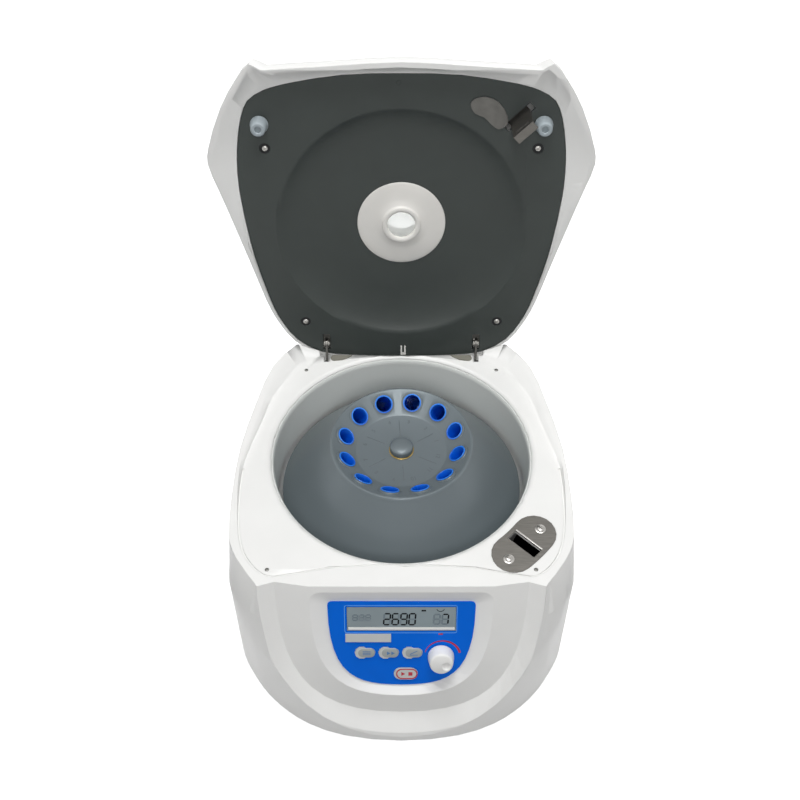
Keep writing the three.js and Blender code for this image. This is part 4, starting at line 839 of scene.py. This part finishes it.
class CENTRIFUGE_OT_rotor(Operator):
    """Turns the rotor bell, bores its tube holes and marks the places"""

    bl_idname = "centrifuge.rotor"
    bl_label = "Rotor"

    def execute(self, context):
        sizes = context.scene.centrifuge_rotor
        self.bell(sizes)
        self.marks(sizes)
        self.nut()
        return {"FINISHED"}

    def bell(self, sizes):
        bore, hub, hub_foot, under, skirt_foot = 8.3, 16, -35, -0.5, -58
        inside = [(bore, hub_foot), (hub, hub_foot), (hub, under), (47.6, under), (73.1, 16),
                  (128.25, skirt_foot)]
        outside = [(131.2, skirt_foot), (132, skirt_foot + 0.8), (132, skirt_foot + 1.4),
                   (78.6, 14.8)]
        crest = [(77.6, 16.2), (76.6, 18), (75.6, 18.8), (74.4, 19), (73.1, 18.6)]
        dish = [(49.4, 4.0), (48.2, DISC_FACE), (bore, DISC_FACE)]
        bell = spun([*inside, *outside, *crest, *dish], segments=144)
        count, circle = sizes.tubes, sizes.circle / MM
        layout = dict(lean=sizes.lean, phase=sizes.phase, rise=sizes.rise / MM)
        boss, thick, hole, deep = 11.8, 1.5, 9.6, 12
        lip = spun([(0, -thick), (boss, -thick), (boss, thick - 0.6), (boss - 0.6, thick),
                    (0, thick)], segments=48)
        drill = spun([(0, -deep), (hole, -deep), (hole, deep), (0, deep)], segments=48)
        lips = set_round(lip, count, circle, "rotor_grey", **layout)
        holes = set_round(drill, count, circle, "rotor_grey", **layout)
        bell = carved(carved(bell, [lips], "UNION"), [holes])
        piece("rotor_bell_skin", bell, "rotor", "rotor_grey", ("rotor_bell",), DECK, angle=28)

    def marks(self, sizes):
        """Fine ribs between every other pair of places, and a figure at each place, both coloured
        darker than the rotor
        """
        half = sizes.groove_length / MM / 2
        rib_circle, figure_circle, figure_size, thick = 31, 40, 6.5, 0.2
        rib = cushion_block(-half, half, -0.3, 0.3, -0.05, thick, 0.2, 0.12)
        ribs = set_round(rib, sizes.tubes // 2, rib_circle, "dark_print",
                         phase=sizes.phase + pi / sizes.tubes, rise=DISC_FACE)
        figures = []
        seat = Matrix.Translation((figure_circle, 0, DISC_FACE + 0.05))
        for i in range(sizes.tubes):
            turn = sizes.phase + tau * i / sizes.tubes
            place = Matrix.Rotation(turn, 4, "Z") @ seat @ Matrix.Rotation(-pi / 2, 4, "Z")
            figures.append(lettered(str(i + 1), figure_size, thick, place))
        piece("rotor_marks", ribs, "rotor", "dark_print", (), DECK)
        piece("rotor_figures", joined_bmesh(*figures), "rotor", "dark_print", (), DECK)

    def nut(self):
        """The domed nut and the brass ring under it"""
        thread, thread_top = 4.3, 11.6
        low = DISC_FACE + 1.6
        dome = [(12.5, low + 4.4), (12.3, low + 5.6), (11.5, low + 6.5), (9.6, low + 7.2),
                (6.5, low + 7.7), (3, low + 7.95)]
        nut = spun([(thread, low), (12.0, low), (12.5, low + 0.5), *dome, (0, low + 8),
                    (0, thread_top), (thread, thread_top)], segments=64)
        piece("rotor_nut_skin", nut, "rotor", "rotor_grey", ("rotor_nut",), DECK, angle=40)
        low = DISC_FACE + 0.3
        ring = spun([(thread, low), (13.2, low), (13.4, low + 0.3), (13.4, low + 0.7),
                     (13.1, low + 1), (thread, low + 1)], segments=64)
        piece("nut_ring_skin", ring, "rotor", "brass", ("nut_ring",), DECK, angle=40)


class CENTRIFUGE_OT_sleeves(Operator):
    """Sets the blue tube sleeves round the rotor"""

    bl_idname = "centrifuge.sleeves"
    bl_label = "Tube sleeves"

    def execute(self, context):
        sizes = context.scene.centrifuge_rotor
        radius, lip, flare = sizes.sleeve_radius / MM, 1.8, 0.8
        wall, bottom, corner = 0.7, 1.5, 5
        top = lip + 0.6
        low = top - sizes.sleeve_length / MM
        bore = radius - wall
        tip = arc_points((radius - corner, low + corner), corner, -90, 0, 6)
        inner = arc_points((bore - corner, low + bottom + corner), corner, 0, -90, 6)
        profile = [(0, low), *tip, (radius, lip), (radius + flare, lip),
                   (radius + flare, top - 0.2), (radius + flare - 0.2, top), (bore + 0.2, top),
                   (bore, top - 0.2), *inner, (0, low + bottom)]
        sleeves = set_round(
            spun(profile, segments=40), sizes.tubes, sizes.circle / MM, "sleeve_blue",
            lean=sizes.lean, phase=sizes.phase, rise=sizes.rise / MM)
        nodes = [f"tube_sleeve_{i + 1}" for i in range(sizes.tubes)]
        piece("tube_sleeves", sleeves, "rotor", "sleeve_blue", nodes, DECK, angle=40)
        return {"FINISHED"}


class CENTRIFUGE_OT_lid(Operator):
    """Dresses the lid cover, its liner, window and buffers"""

    bl_idname = "centrifuge.lid"
    bl_label = "Lid"

    def execute(self, context):
        smoothed("lid_cover", "white_shell", angle=24)
        smoothed("lid_liner", "liner_grey", angle=30)
        self.window()
        for side, x in (("left", -146), ("right", 146)):
            self.buffer("lid_buffer_" + side, LID @ moved(x, -115, 0))
        ring = arc_points((0, 0), 2.4, 0, 345, 23)
        mark = band(ring, 0.5, LINER_FACE - 0.12, LINER_FACE + 0.1)
        piece("liner_mark", mark, "lid", "liner_grey", (), LID @ moved(-3, -159, 0))
        return {"FINISHED"}

    def window(self):
        """The bezel with its sight tube through the lid, and the bulging lens in it"""
        face, crown, opening, tube, rim = 27.3, 52, 15.3, 20, 48
        nose, seat = face - 6.2, face - 1.8
        slope = [(19.6, nose), (20.4, nose + 0.4), (21.2, nose + 2.0), (22.4, nose + 2.8),
                 (30, nose + 3.7), (38, nose + 4.6), (rim - 1.5, face - 0.8),
                 (rim - 0.4, face - 0.4), (rim, face)]
        bezel = spun([(opening, nose + 1.2), (16.4, nose + 0.3), (17.5, nose), *slope,
                      (tube, face), (tube, crown - 0.6), (tube - 0.6, crown), (tube - 3, crown),
                      (tube - 3, seat), (opening, seat)], segments=96)
        place = LID @ moved(0, 1.5, 0)
        piece("window_bezel_skin", bezel, "lid", "pale_plastic", ("window_bezel",), place)
        low, radius, bulge = face - 1.5, 16.7, 2.1
        turns = [radians(turn) for turn in range(75, -1, -15)]
        dome = [(radius * cos(turn), low - 0.1 - bulge * sin(turn)) for turn in turns]
        lens = spun([(0, low - 0.1 - bulge), *dome, (radius, low + 2.4), (radius - 0.4, low + 2.8),
                     (0, low + 2.8)], segments=64)
        piece("window_lens_skin", lens, "lid", "clear", ("window_lens",), place, angle=40)

    def buffer(self, node, place):
        """A rubber cup that meets the deck when the lid is shut"""
        low, high, deep, foot, bore = 0.8, LINER_FACE - 0.3, 4.0, 9.5, 3.2
        profile = [(0, high), (foot, high), (foot, high - 1.4), (foot - 0.6, high - 2),
                   (7.7, low + 2), (7.1, low + 0.6), (6.3, low), (bore + 0.7, low),
                   (bore, low + 0.6), (bore, deep), (0, deep)]
        piece(node + "_pad", spun(profile, segments=48), "lid", "buffer", (node,), place)


class CENTRIFUGE_OT_latch(Operator):
    """Dresses the latch plate, the striker and what is behind them"""

    bl_idname = "centrifuge.latch"
    bl_label = "Latch"

    def execute(self, context):
        smoothed("latch_plate", "plate_steel", angle=30)
        smoothed("striker", "plate_steel", angle=30)
        smoothed("bean_plate", "dark_steel", angle=30)
        paint_node("latch_solenoid", "black_plastic")
        paint_node("latch_bolt", "dark_steel")
        # A low lip along the slot's outer edge; its lighter steel is a painted highlight where the
        # plate's bent edge shines
        lip = cushion_block(-17.5, 17.5, 6.3, 8.0, PLATE_PROUD - 0.1, 0.9, 0.6, 0.4)
        piece("latch_slot_lip", lip, "base", "steel", (), LATCH)
        places = [(0, -25, PLATE_PROUD, 0.5), (0, 25, PLATE_PROUD, 0.1)]
        head, washer = context.scene.centrifuge_fixings.latch_head / MM, 5.6
        screws = set_screws(places, head, "steel", washer)
        piece("latch_screws", screws, "base", "steel", (), LATCH)
        return {"FINISHED"}


class CENTRIFUGE_OT_fixings(Operator):
    """Sets the screws of the deck and of the lid liner"""

    bl_idname = "centrifuge.fixings"
    bl_label = "Screws"

    def execute(self, context):
        sizes = context.scene.centrifuge_fixings
        sunk, liner_seat = -0.7, 17.3
        deck = [(-134, -148.6, sunk, 0.2), (134, -148.6, sunk, 0.9), (-109, 120, sunk, 0.4),
                (109, 120, sunk, 1.2)]
        screws = set_screws(deck, sizes.deck_head / MM, "screw_dark")
        piece("deck_screws", screws, "base", "screw_dark", (), DECK)
        liner = [(-142, 89, 0, 0.3), (142, 89, 0, 0.8), (-109, -120, 0, 0.1), (109, -120, 0, 1.1)]
        seat = LID @ moved(0, 0, liner_seat) @ Matrix.Rotation(pi, 4, "X")
        low, high, bore, rim = -0.1, 0.2, 1, 5.6
        washer = spun([(bore, low), (rim, low), (rim, high), (bore, high)], segments=40)
        washers = set_at(liner, washer, "rubber")
        piece("liner_washers", washers, "lid", "rubber", (), seat)
        screws = set_screws(liner, sizes.liner_head / MM, "steel")
        piece("liner_screws", screws, "lid", "steel", (), seat @ moved(0, 0, 0.3))
        return {"FINISHED"}


PRINT_SUNK = 0.05
PRINT_PROUD = 0.12


class CENTRIFUGE_OT_panel(Operator):
    """Dresses the control panel: overlay, display, figures and prints"""

    bl_idname = "centrifuge.panel"
    bl_label = "Control panel"

    def execute(self, context):
        smoothed("panel_overlay", "panel_blue", angle=30)
        smoothed("label_plate", "key_grey", angle=30)
        paint_node("control_board", "board")
        paint_node("encoder_shaft", "steel")
        self.display()
        self.prints()
        return {"FINISHED"}

    def display(self):
        """The window with a pale strip and plain seven-bar figures, lit and unlit"""
        smoothed("display_window", "display", angle=30)
        face = PANEL_FACE - 0.3
        low, high = face - PRINT_SUNK, face + 0.1
        strip = prism(box_outline(-53.5, 53.5, -53.4, -50.3), low, face + 0.15)
        piece("display_strip", strip, "base", "white_shell", (), FASCIA)
        dark, ghost = bmesh.new(), bmesh.new()
        pitch = 8.4
        for i, figure in enumerate("2690"):
            segments_of(figure, -18 + i * pitch, -40.8, 6.2, 13, face, dark, ghost)
        for i, figure in enumerate(" 7"):
            segments_of(figure, 32 + i * pitch, -40.8, 6, 11.5, face, dark, ghost)
        for x in (-49, -42.5, -36):
            segments_of(" ", x, -39, 4.6, 6.5, face, dark, ghost)
        prism(box_outline(20, 24.6, -31.6, -29.8), low, high, dark)
        band(arc_points((39, -27.6), 4, 200, 340, 12), 0.7, low, high, closed=False, work=dark)
        piece("display_figures", dark, "base", "digit_ink", (), FASCIA)
        piece("display_shadows", ghost, "base", "ghost_ink", (), FASCIA)

    def prints(self):
        """The line round the display and the red arc over the knob"""
        low, high = PANEL_FACE - PRINT_SUNK, PANEL_FACE + PRINT_PROUD
        outline = rounded_box(-57.0, 55.6, -56.8, -24.4, 2.2)
        piece("display_line", band(outline, 0.6, low, high), "base", "line_print", (), FASCIA)
        sweep = arc_points((41.5, -84.5), 18, 166, 12, 34)
        arc = band(sweep, 1, low, high, closed=False, taper=(0.3, 1.2))
        bar = prism(box_outline(37.2, 41.6, -59.0, -57.4), low, high)
        piece("knob_arc", joined_bmesh(arc, bar), "base", "red_print", (), FASCIA)


# The lit bars of each figure, lettered clockwise from the top, with g in the middle
SEGMENTS = {
    "0": "abcdef", "1": "bc", "2": "abged", "3": "abgcd", "4": "fgbc", "5": "afgcd",
    "6": "afgedc", "7": "abc", "8": "abcdefg", "9": "abcdfg", " ": "",
}
FIGURE_SLANT = 0.07


def segments_of(figure, x, y, width, height, face, lit, unlit):
    """One seven-bar figure, with its unlit bars drawn faintly."""
    half, bar, gap = height / 2, width * 0.27, width * 0.04
    lines = {
        "a": ((0, height), (width, height)),
        "g": ((0, half), (width, half)),
        "d": ((0, 0), (width, 0)),
        "f": ((0, half), (0, height)),
        "b": ((width, half), (width, height)),
        "e": ((0, 0), (0, half)),
        "c": ((width, 0), (width, half)),
    }
    for name, (start, end) in lines.items():
        along = (Vector(end) - Vector(start)).normalized()
        across = Vector((-along.y, along.x)) * bar / 2
        start, end = Vector(start) + along * gap, Vector(end) - along * gap
        tip = along * bar / 2
        corners = [start, start + tip + across, end - tip + across, end, end - tip - across,
                   start + tip - across]
        points = [(x + p.x + p.y * FIGURE_SLANT, y + p.y - half) for p in corners]
        on = name in SEGMENTS[figure]
        proud = PRINT_PROUD if on else PRINT_PROUD / 2
        prism(points, face - PRINT_SUNK, face + proud, lit if on else unlit)


class CENTRIFUGE_OT_keys(Operator):
    """Makes the three grey keys and the start key with its red line"""

    bl_idname = "centrifuge.keys"
    bl_label = "Keys"

    def execute(self, context):
        first, pitch = -40.3, 24
        for i in range(3):
            self.key(i, first + i * pitch, PANEL_TOP - 60.5)
        self.start_key(4.4, PANEL_TOP - 86)
        return {"FINISHED"}

    def key(self, index, x, y):
        """A grey key with a darker pill and a plain sign: lines, arrows or a lid that opens"""
        body = f"key_{index + 1}"
        smoothed(f"panel_key_{index + 1}", "key_grey", angle=30)
        half, low, high = 5.0, KEY_FACE - PRINT_SUNK, KEY_FACE + 0.25
        pill = cushion_block(x - 3.6, x + 13.4, y - half, y + half, low, high, 4.9, 0.25)
        piece(body + "_pill", pill, body, "pill_grey", (), FASCIA)
        mark = bmesh.new()
        low, high = high - PRINT_SUNK, high + 0.1
        middle, reach, stroke = x + 5, 4, 0.8
        if index == 0:
            for line in (y - 1.8, y, y + 1.8):
                edge = stroke / 2
                prism(box_outline(middle - reach, middle + reach, line - edge, line + edge),
                      low, high, mark)
        elif index == 1:
            for left in (middle - 3.4, middle + 1.0):
                prism([(left, y - 2.2), (left + 3.6, y), (left, y + 2.2)], low, high, mark)
        else:
            body_line = [(middle - reach, y - 2.2), (middle + reach, y - 2.2)]
            lid_line = [(middle - reach, y - 1.2), (middle + 3.4, y + 2.6)]
            for line in (body_line, lid_line):
                band(line, stroke, low, high, closed=False, work=mark)
        piece(body + "_mark", mark, body, "blue_print", (), FASCIA)

    def start_key(self, x, y):
        """The key with a red line round a start and a stop sign"""
        smoothed("start_key", "key_grey", angle=30)
        low, high = KEY_FACE - PRINT_SUNK, KEY_FACE + PRINT_PROUD
        line = rounded_box(x - 9.3, x + 11.4, y - 5.7, y + 5.7, 5.6, 10)
        mark = band(line, 1.3, low, high)
        prism([(x - 4.6, y - 2.4), (x - 0.6, y), (x - 4.6, y + 2.4)], low, high, mark)
        prism(box_outline(x + 2.6, x + 6.8, y - 2.1, y + 2.1), low, high, mark)
        piece("start_key_mark", mark, "start_key", "red_print", (), FASCIA)


class CENTRIFUGE_OT_knob(Operator):
    """Turns the speed knob with its thumb dimple"""

    bl_idname = "centrifuge.knob"
    bl_label = "Speed knob"

    def execute(self, context):
        radius, bore, deep, top = 13.3, 3.3, 10, 15.0
        side = [(radius, 0.5), (radius, 3.75), (13.05, 5.6), (12.0, 12.4), (11.7, 13.6),
                (11.1, top - 0.5), (10.2, top)]
        knob = spun([(bore, 0), (radius - 0.5, 0), *side, (0, top), (0, deep), (bore, deep)],
                    segments=96)
        dimple, ball = bmesh.new(), 7.2
        bmesh.ops.create_uvsphere(dimple, u_segments=32, v_segments=20, radius=ball)
        bmesh.ops.translate(dimple, verts=dimple.verts, vec=(5.4, -2.4, top + 0.75 * ball))
        knob = carved(knob, [dimple])
        place = FASCIA @ moved(40, PANEL_TOP - 64, KNOB_SEAT)
        piece("speed_knob_skin", knob, "knob", "white_shell", ("speed_knob",), place)
        return {"FINISHED"}


class CENTRIFUGE_OT_hinges(Operator):
    """Dresses the hinges and sets the pads and the clip beside them"""

    bl_idname = "centrifuge.hinges"
    bl_label = "Hinges"

    def execute(self, context):
        for side in ("left", "right"):
            smoothed("hinge_bracket_" + side, "dark_steel", angle=30)
            smoothed("hinge_clevis_" + side, "dark_steel", angle=30)
            self.pin("hinge_pin_" + side)
        end = arc_points((77.6, 138.2), 4, -90, 90, 8)
        line = [(57, 142.2), (62, 138.4), (68, 135.4), *end]
        for side, sign in (("left", -1), ("right", 1)):
            pad = prism([(sign * x, y) for x, y in line][::sign], -0.2, 1.4)
            piece("deck_pad_" + side, pad, "base", "pad_olive", (), DECK)
        self.clip()
        return {"FINISHED"}

    def pin(self, node):
        """A round pin along x with chamfered ends"""
        body = frame["nodes"][node]["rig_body"]
        low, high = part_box(node)
        middle = (low + high) / 2
        half, radius = (high.x - low.x) / 2 / MM, (high.z - low.z) / 2 / MM
        chamfer = 0.4
        profile = [(0, -half), (radius - chamfer, -half), (radius, chamfer - half),
                   (radius, half - chamfer), (radius - chamfer, half), (0, half)]
        place = Matrix.Translation(middle) @ Matrix.Rotation(pi / 2, 4, "Y")
        piece(node + "_skin", spun(profile, segments=32), body, "steel", (node,), place)

    def clip(self):
        """The two-pronged clip at the middle of the liner's rear edge"""
        left, prong, gap, low, high = -0.9, 1.8, 2.4, LINER_FACE - 2.4, LINER_FACE + 0.2
        right = left + 2 * prong + gap
        parts = [cushion_block(x, x + prong, 152, 163.5, low, high, 0.8, 0.4)
                 for x in (left, left + prong + gap)]
        parts.append(cushion_block(left, right, 161, 164, low + 0.8, high, 0.8, 0.4))
        piece("liner_clip", joined_bmesh(*parts), "lid", "pale_plastic", (), LID)


class CENTRIFUGE_OT_rear(Operator):
    """Dresses the connectors on the back and sets bars behind its vents"""

    bl_idname = "centrifuge.rear"
    bl_label = "Back"

    def execute(self, context):
        smoothed("rear_panel", "pale_plastic", angle=30)
        for node in ("power_inlet", "switch_frame", "power_rocker", "fuse_holder"):
            smoothed(node, "black_plastic", angle=30)
        self.bars()
        self.inlet_screws()
        return {"FINISHED"}

    def bars(self):
        """Level bars behind the vents of the rear plate"""
        low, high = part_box("rear_panel")
        middle = Matrix.Translation(((low.x + high.x) / 2, low.y, low.z))
        reach, half, pitch, vent_middle = 54, 1, 7, 19
        bar = cushion_block(-reach, reach, -2.6, -0.2, -half, half, 0.8, 0.4)
        bars = set_row(bar, 4, (0, 0, pitch), "pale_plastic")
        piece("vent_bars", bars, "base", "pale_plastic", (), middle @ moved(0, 0, vent_middle))

    def inlet_screws(self):
        """The screws in the ears of the mains inlet, facing backwards"""
        low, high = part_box("power_inlet")
        face = Matrix.Translation(((low.x + high.x) / 2, high.y, (low.z + high.z) / 2))
        ear, head = 19, 2.3
        screws = set_screws([(-ear, 0, -0.1, 0.3), (ear, 0, -0.1, 0.8)], head, "steel")
        piece("inlet_screws", screws, "base", "steel", (), face @ Matrix.Rotation(-pi / 2, 4, "X"))


class CENTRIFUGE_OT_inside(Operator):
    """Dresses the motor and its mount inside the body"""

    bl_idname = "centrifuge.inside"
    bl_label = "Drive"

    def execute(self, context):
        for node in ("motor", "motor_mount", "drive_shaft"):
            smoothed(node, "steel", angle=40)
        for i in range(3):
            smoothed(f"motor_damper_{i + 1}", "rubber", angle=40)
        return {"FINISHED"}


# Each lamp: its place and diameter in metres, and its power in watts
LAMPS = {
    "lamp_over": ((0.0, 0.12, 2.4), 1.1, 31.5),
    "lamp_front": ((0.0, -1.75, 2.0), 0.9, 20),
    "lamp_left": ((-2.4, -0.1, 1.0), 1.4, 4.5),
    "lamp_right": ((2.4, -0.1, 1.0), 1.4, 4.5),
    "lamp_back": ((0.6, 2.4, 1.5), 1.6, 9),
}
LAMP_TARGET = (0, 0, 0.2)
FLOOR_RADIUS = 6
FLOOR_COLOUR = (0.86, 0.86, 0.86, 1)
FLOOR_GLOW = 0.78
FLOOR_BOUNCE = (0.3, 0.3, 0.3, 1)
WHITE = (1, 1, 1, 1)
ROOM_LIGHT = 0.14
SENSOR = 36
CAMERA_SIDE = -0.0015
CAMERA_NEAR = 0.05


class CENTRIFUGE_OT_stage(Operator):
    """Sets the floor, the lamps and the camera"""

    bl_idname = "centrifuge.stage"
    bl_label = "Stage"

    def execute(self, context):
        self.floor()
        self.world(context.scene)
        for name, values in LAMPS.items():
            self.lamp(name, *values)
        self.camera(context.scene)
        context.scene.view_settings.view_transform = "Standard"
        return {"FINISHED"}

    def floor(self):
        work = bmesh.new()
        bmesh.ops.create_circle(work, cap_ends=True, segments=96, radius=FLOOR_RADIUS)
        mesh = bpy.data.meshes.new("floor")
        work.to_mesh(mesh)
        work.free()
        floor = bpy.data.objects.new("floor", mesh)
        bpy.context.scene.collection.objects.link(floor)
        mesh.materials.append(self.paper())

    def paper(self):
        """Pale paper that is seen as white, keeps the object's shadow and lights it little"""
        material = bpy.data.materials.new("paper")
        material.use_nodes = True
        nodes, links = material.node_tree.nodes, material.node_tree.links
        shader = nodes["Principled BSDF"]
        shader.inputs["Base Color"].default_value = FLOOR_COLOUR
        shader.inputs["Roughness"].default_value = 0.9
        glow = nodes.new("ShaderNodeEmission")
        glow.inputs["Strength"].default_value = FLOOR_GLOW
        both = nodes.new("ShaderNodeAddShader")
        links.new(shader.outputs[0], both.inputs[0])
        links.new(glow.outputs[0], both.inputs[1])
        pick = nodes.new("ShaderNodeMixShader")
        dull = nodes.new("ShaderNodeBsdfDiffuse")
        dull.inputs["Color"].default_value = FLOOR_BOUNCE
        links.new(self.seen(nodes, links), pick.inputs[0])
        links.new(dull.outputs[0], pick.inputs[1])
        links.new(both.outputs[0], pick.inputs[2])
        links.new(pick.outputs[0], nodes["Material Output"].inputs["Surface"])
        return material

    def seen(self, nodes, links):
        """One for the rays that show the background: camera, glossy and transmission rays"""
        path = nodes.new("ShaderNodeLightPath")
        chosen = path.outputs["Is Camera Ray"]
        for name in ("Is Glossy Ray", "Is Transmission Ray"):
            either = nodes.new("ShaderNodeMath")
            either.operation = "MAXIMUM"
            links.new(chosen, either.inputs[0])
            links.new(path.outputs[name], either.inputs[1])
            chosen = either.outputs[0]
        return chosen

    def world(self, scene):
        """A dim white room that is seen as plain white"""
        world = bpy.data.worlds.new("soft_room")
        scene.world = world
        world.use_nodes = True
        nodes, links = world.node_tree.nodes, world.node_tree.links
        room = nodes["Background"]
        room.inputs["Color"].default_value = WHITE
        room.inputs["Strength"].default_value = ROOM_LIGHT
        plain = nodes.new("ShaderNodeBackground")
        plain.inputs["Color"].default_value = WHITE
        plain.inputs["Strength"].default_value = 1.0
        pick = nodes.new("ShaderNodeMixShader")
        links.new(self.seen(nodes, links), pick.inputs[0])
        links.new(room.outputs[0], pick.inputs[1])
        links.new(plain.outputs[0], pick.inputs[2])
        links.new(pick.outputs[0], nodes["World Output"].inputs["Surface"])

    def lamp(self, name, place, size, power):
        data = bpy.data.lights.new(name, "AREA")
        data.shape = "DISK"
        data.size = size
        data.energy = power
        lamp = bpy.data.objects.new(name, data)
        lamp.location = place
        aim = Vector(LAMP_TARGET) - Vector(place)
        lamp.rotation_euler = aim.to_track_quat("-Z", "Y").to_euler()
        bpy.context.scene.collection.objects.link(lamp)

    def camera(self, scene):
        sizes = scene.centrifuge_stage
        data = bpy.data.cameras.new("camera")
        data.lens = sizes.lens
        data.sensor_width = SENSOR
        data.clip_start = CAMERA_NEAR
        camera = bpy.data.objects.new("camera", data)
        camera.location = (CAMERA_SIDE, -sizes.camera_distance, sizes.camera_height)
        camera.rotation_euler = (pi / 2 - sizes.camera_dip, 0, 0)
        scene.collection.objects.link(camera)
        scene.camera = camera


OPERATORS = (
    CENTRIFUGE_OT_body, CENTRIFUGE_OT_chamber, CENTRIFUGE_OT_rotor, CENTRIFUGE_OT_sleeves,
    CENTRIFUGE_OT_lid, CENTRIFUGE_OT_latch, CENTRIFUGE_OT_fixings, CENTRIFUGE_OT_panel,
    CENTRIFUGE_OT_keys, CENTRIFUGE_OT_knob, CENTRIFUGE_OT_hinges, CENTRIFUGE_OT_rear,
    CENTRIFUGE_OT_inside, CENTRIFUGE_OT_stage,
)
GROUPS = {
    "centrifuge_finishes": CENTRIFUGE_PG_finishes, "centrifuge_rotor": CENTRIFUGE_PG_rotor,
    "centrifuge_fixings": CENTRIFUGE_PG_fixings, "centrifuge_stage": CENTRIFUGE_PG_stage,
}


class CENTRIFUGE_PT_sidebar(Panel):
    """Lists the pieces of the centrifuge and their sizes"""

    bl_label = "Tube centrifuge"
    bl_idname = "CENTRIFUGE_PT_sidebar"
    bl_space_type = "VIEW_3D"
    bl_region_type = "UI"
    bl_category = "Centrifuge"

    def draw(self, context):
        for name, group in GROUPS.items():
            box = self.layout.box()
            for key in group.__annotations__:
                box.prop(getattr(context.scene, name), key)
        for operator in OPERATORS:
            self.layout.operator(operator.bl_idname)


CLASSES = (*GROUPS.values(), *OPERATORS, CENTRIFUGE_PT_sidebar)


def register():
    for cls in CLASSES:
        bpy.utils.register_class(cls)
    for name, group in GROUPS.items():
        setattr(bpy.types.Scene, name, PointerProperty(type=group))


def unregister():
    for name in GROUPS:
        delattr(bpy.types.Scene, name)
    for cls in reversed(CLASSES):
        bpy.utils.unregister_class(cls)


def main():
    register()
    make_finishes(bpy.context.scene.centrifuge_finishes)
    make_trees()
    for operator in OPERATORS:
        family, name = operator.bl_idname.split(".")
        getattr(getattr(bpy.ops, family), name)()


if __name__ == "__main__":
    main()
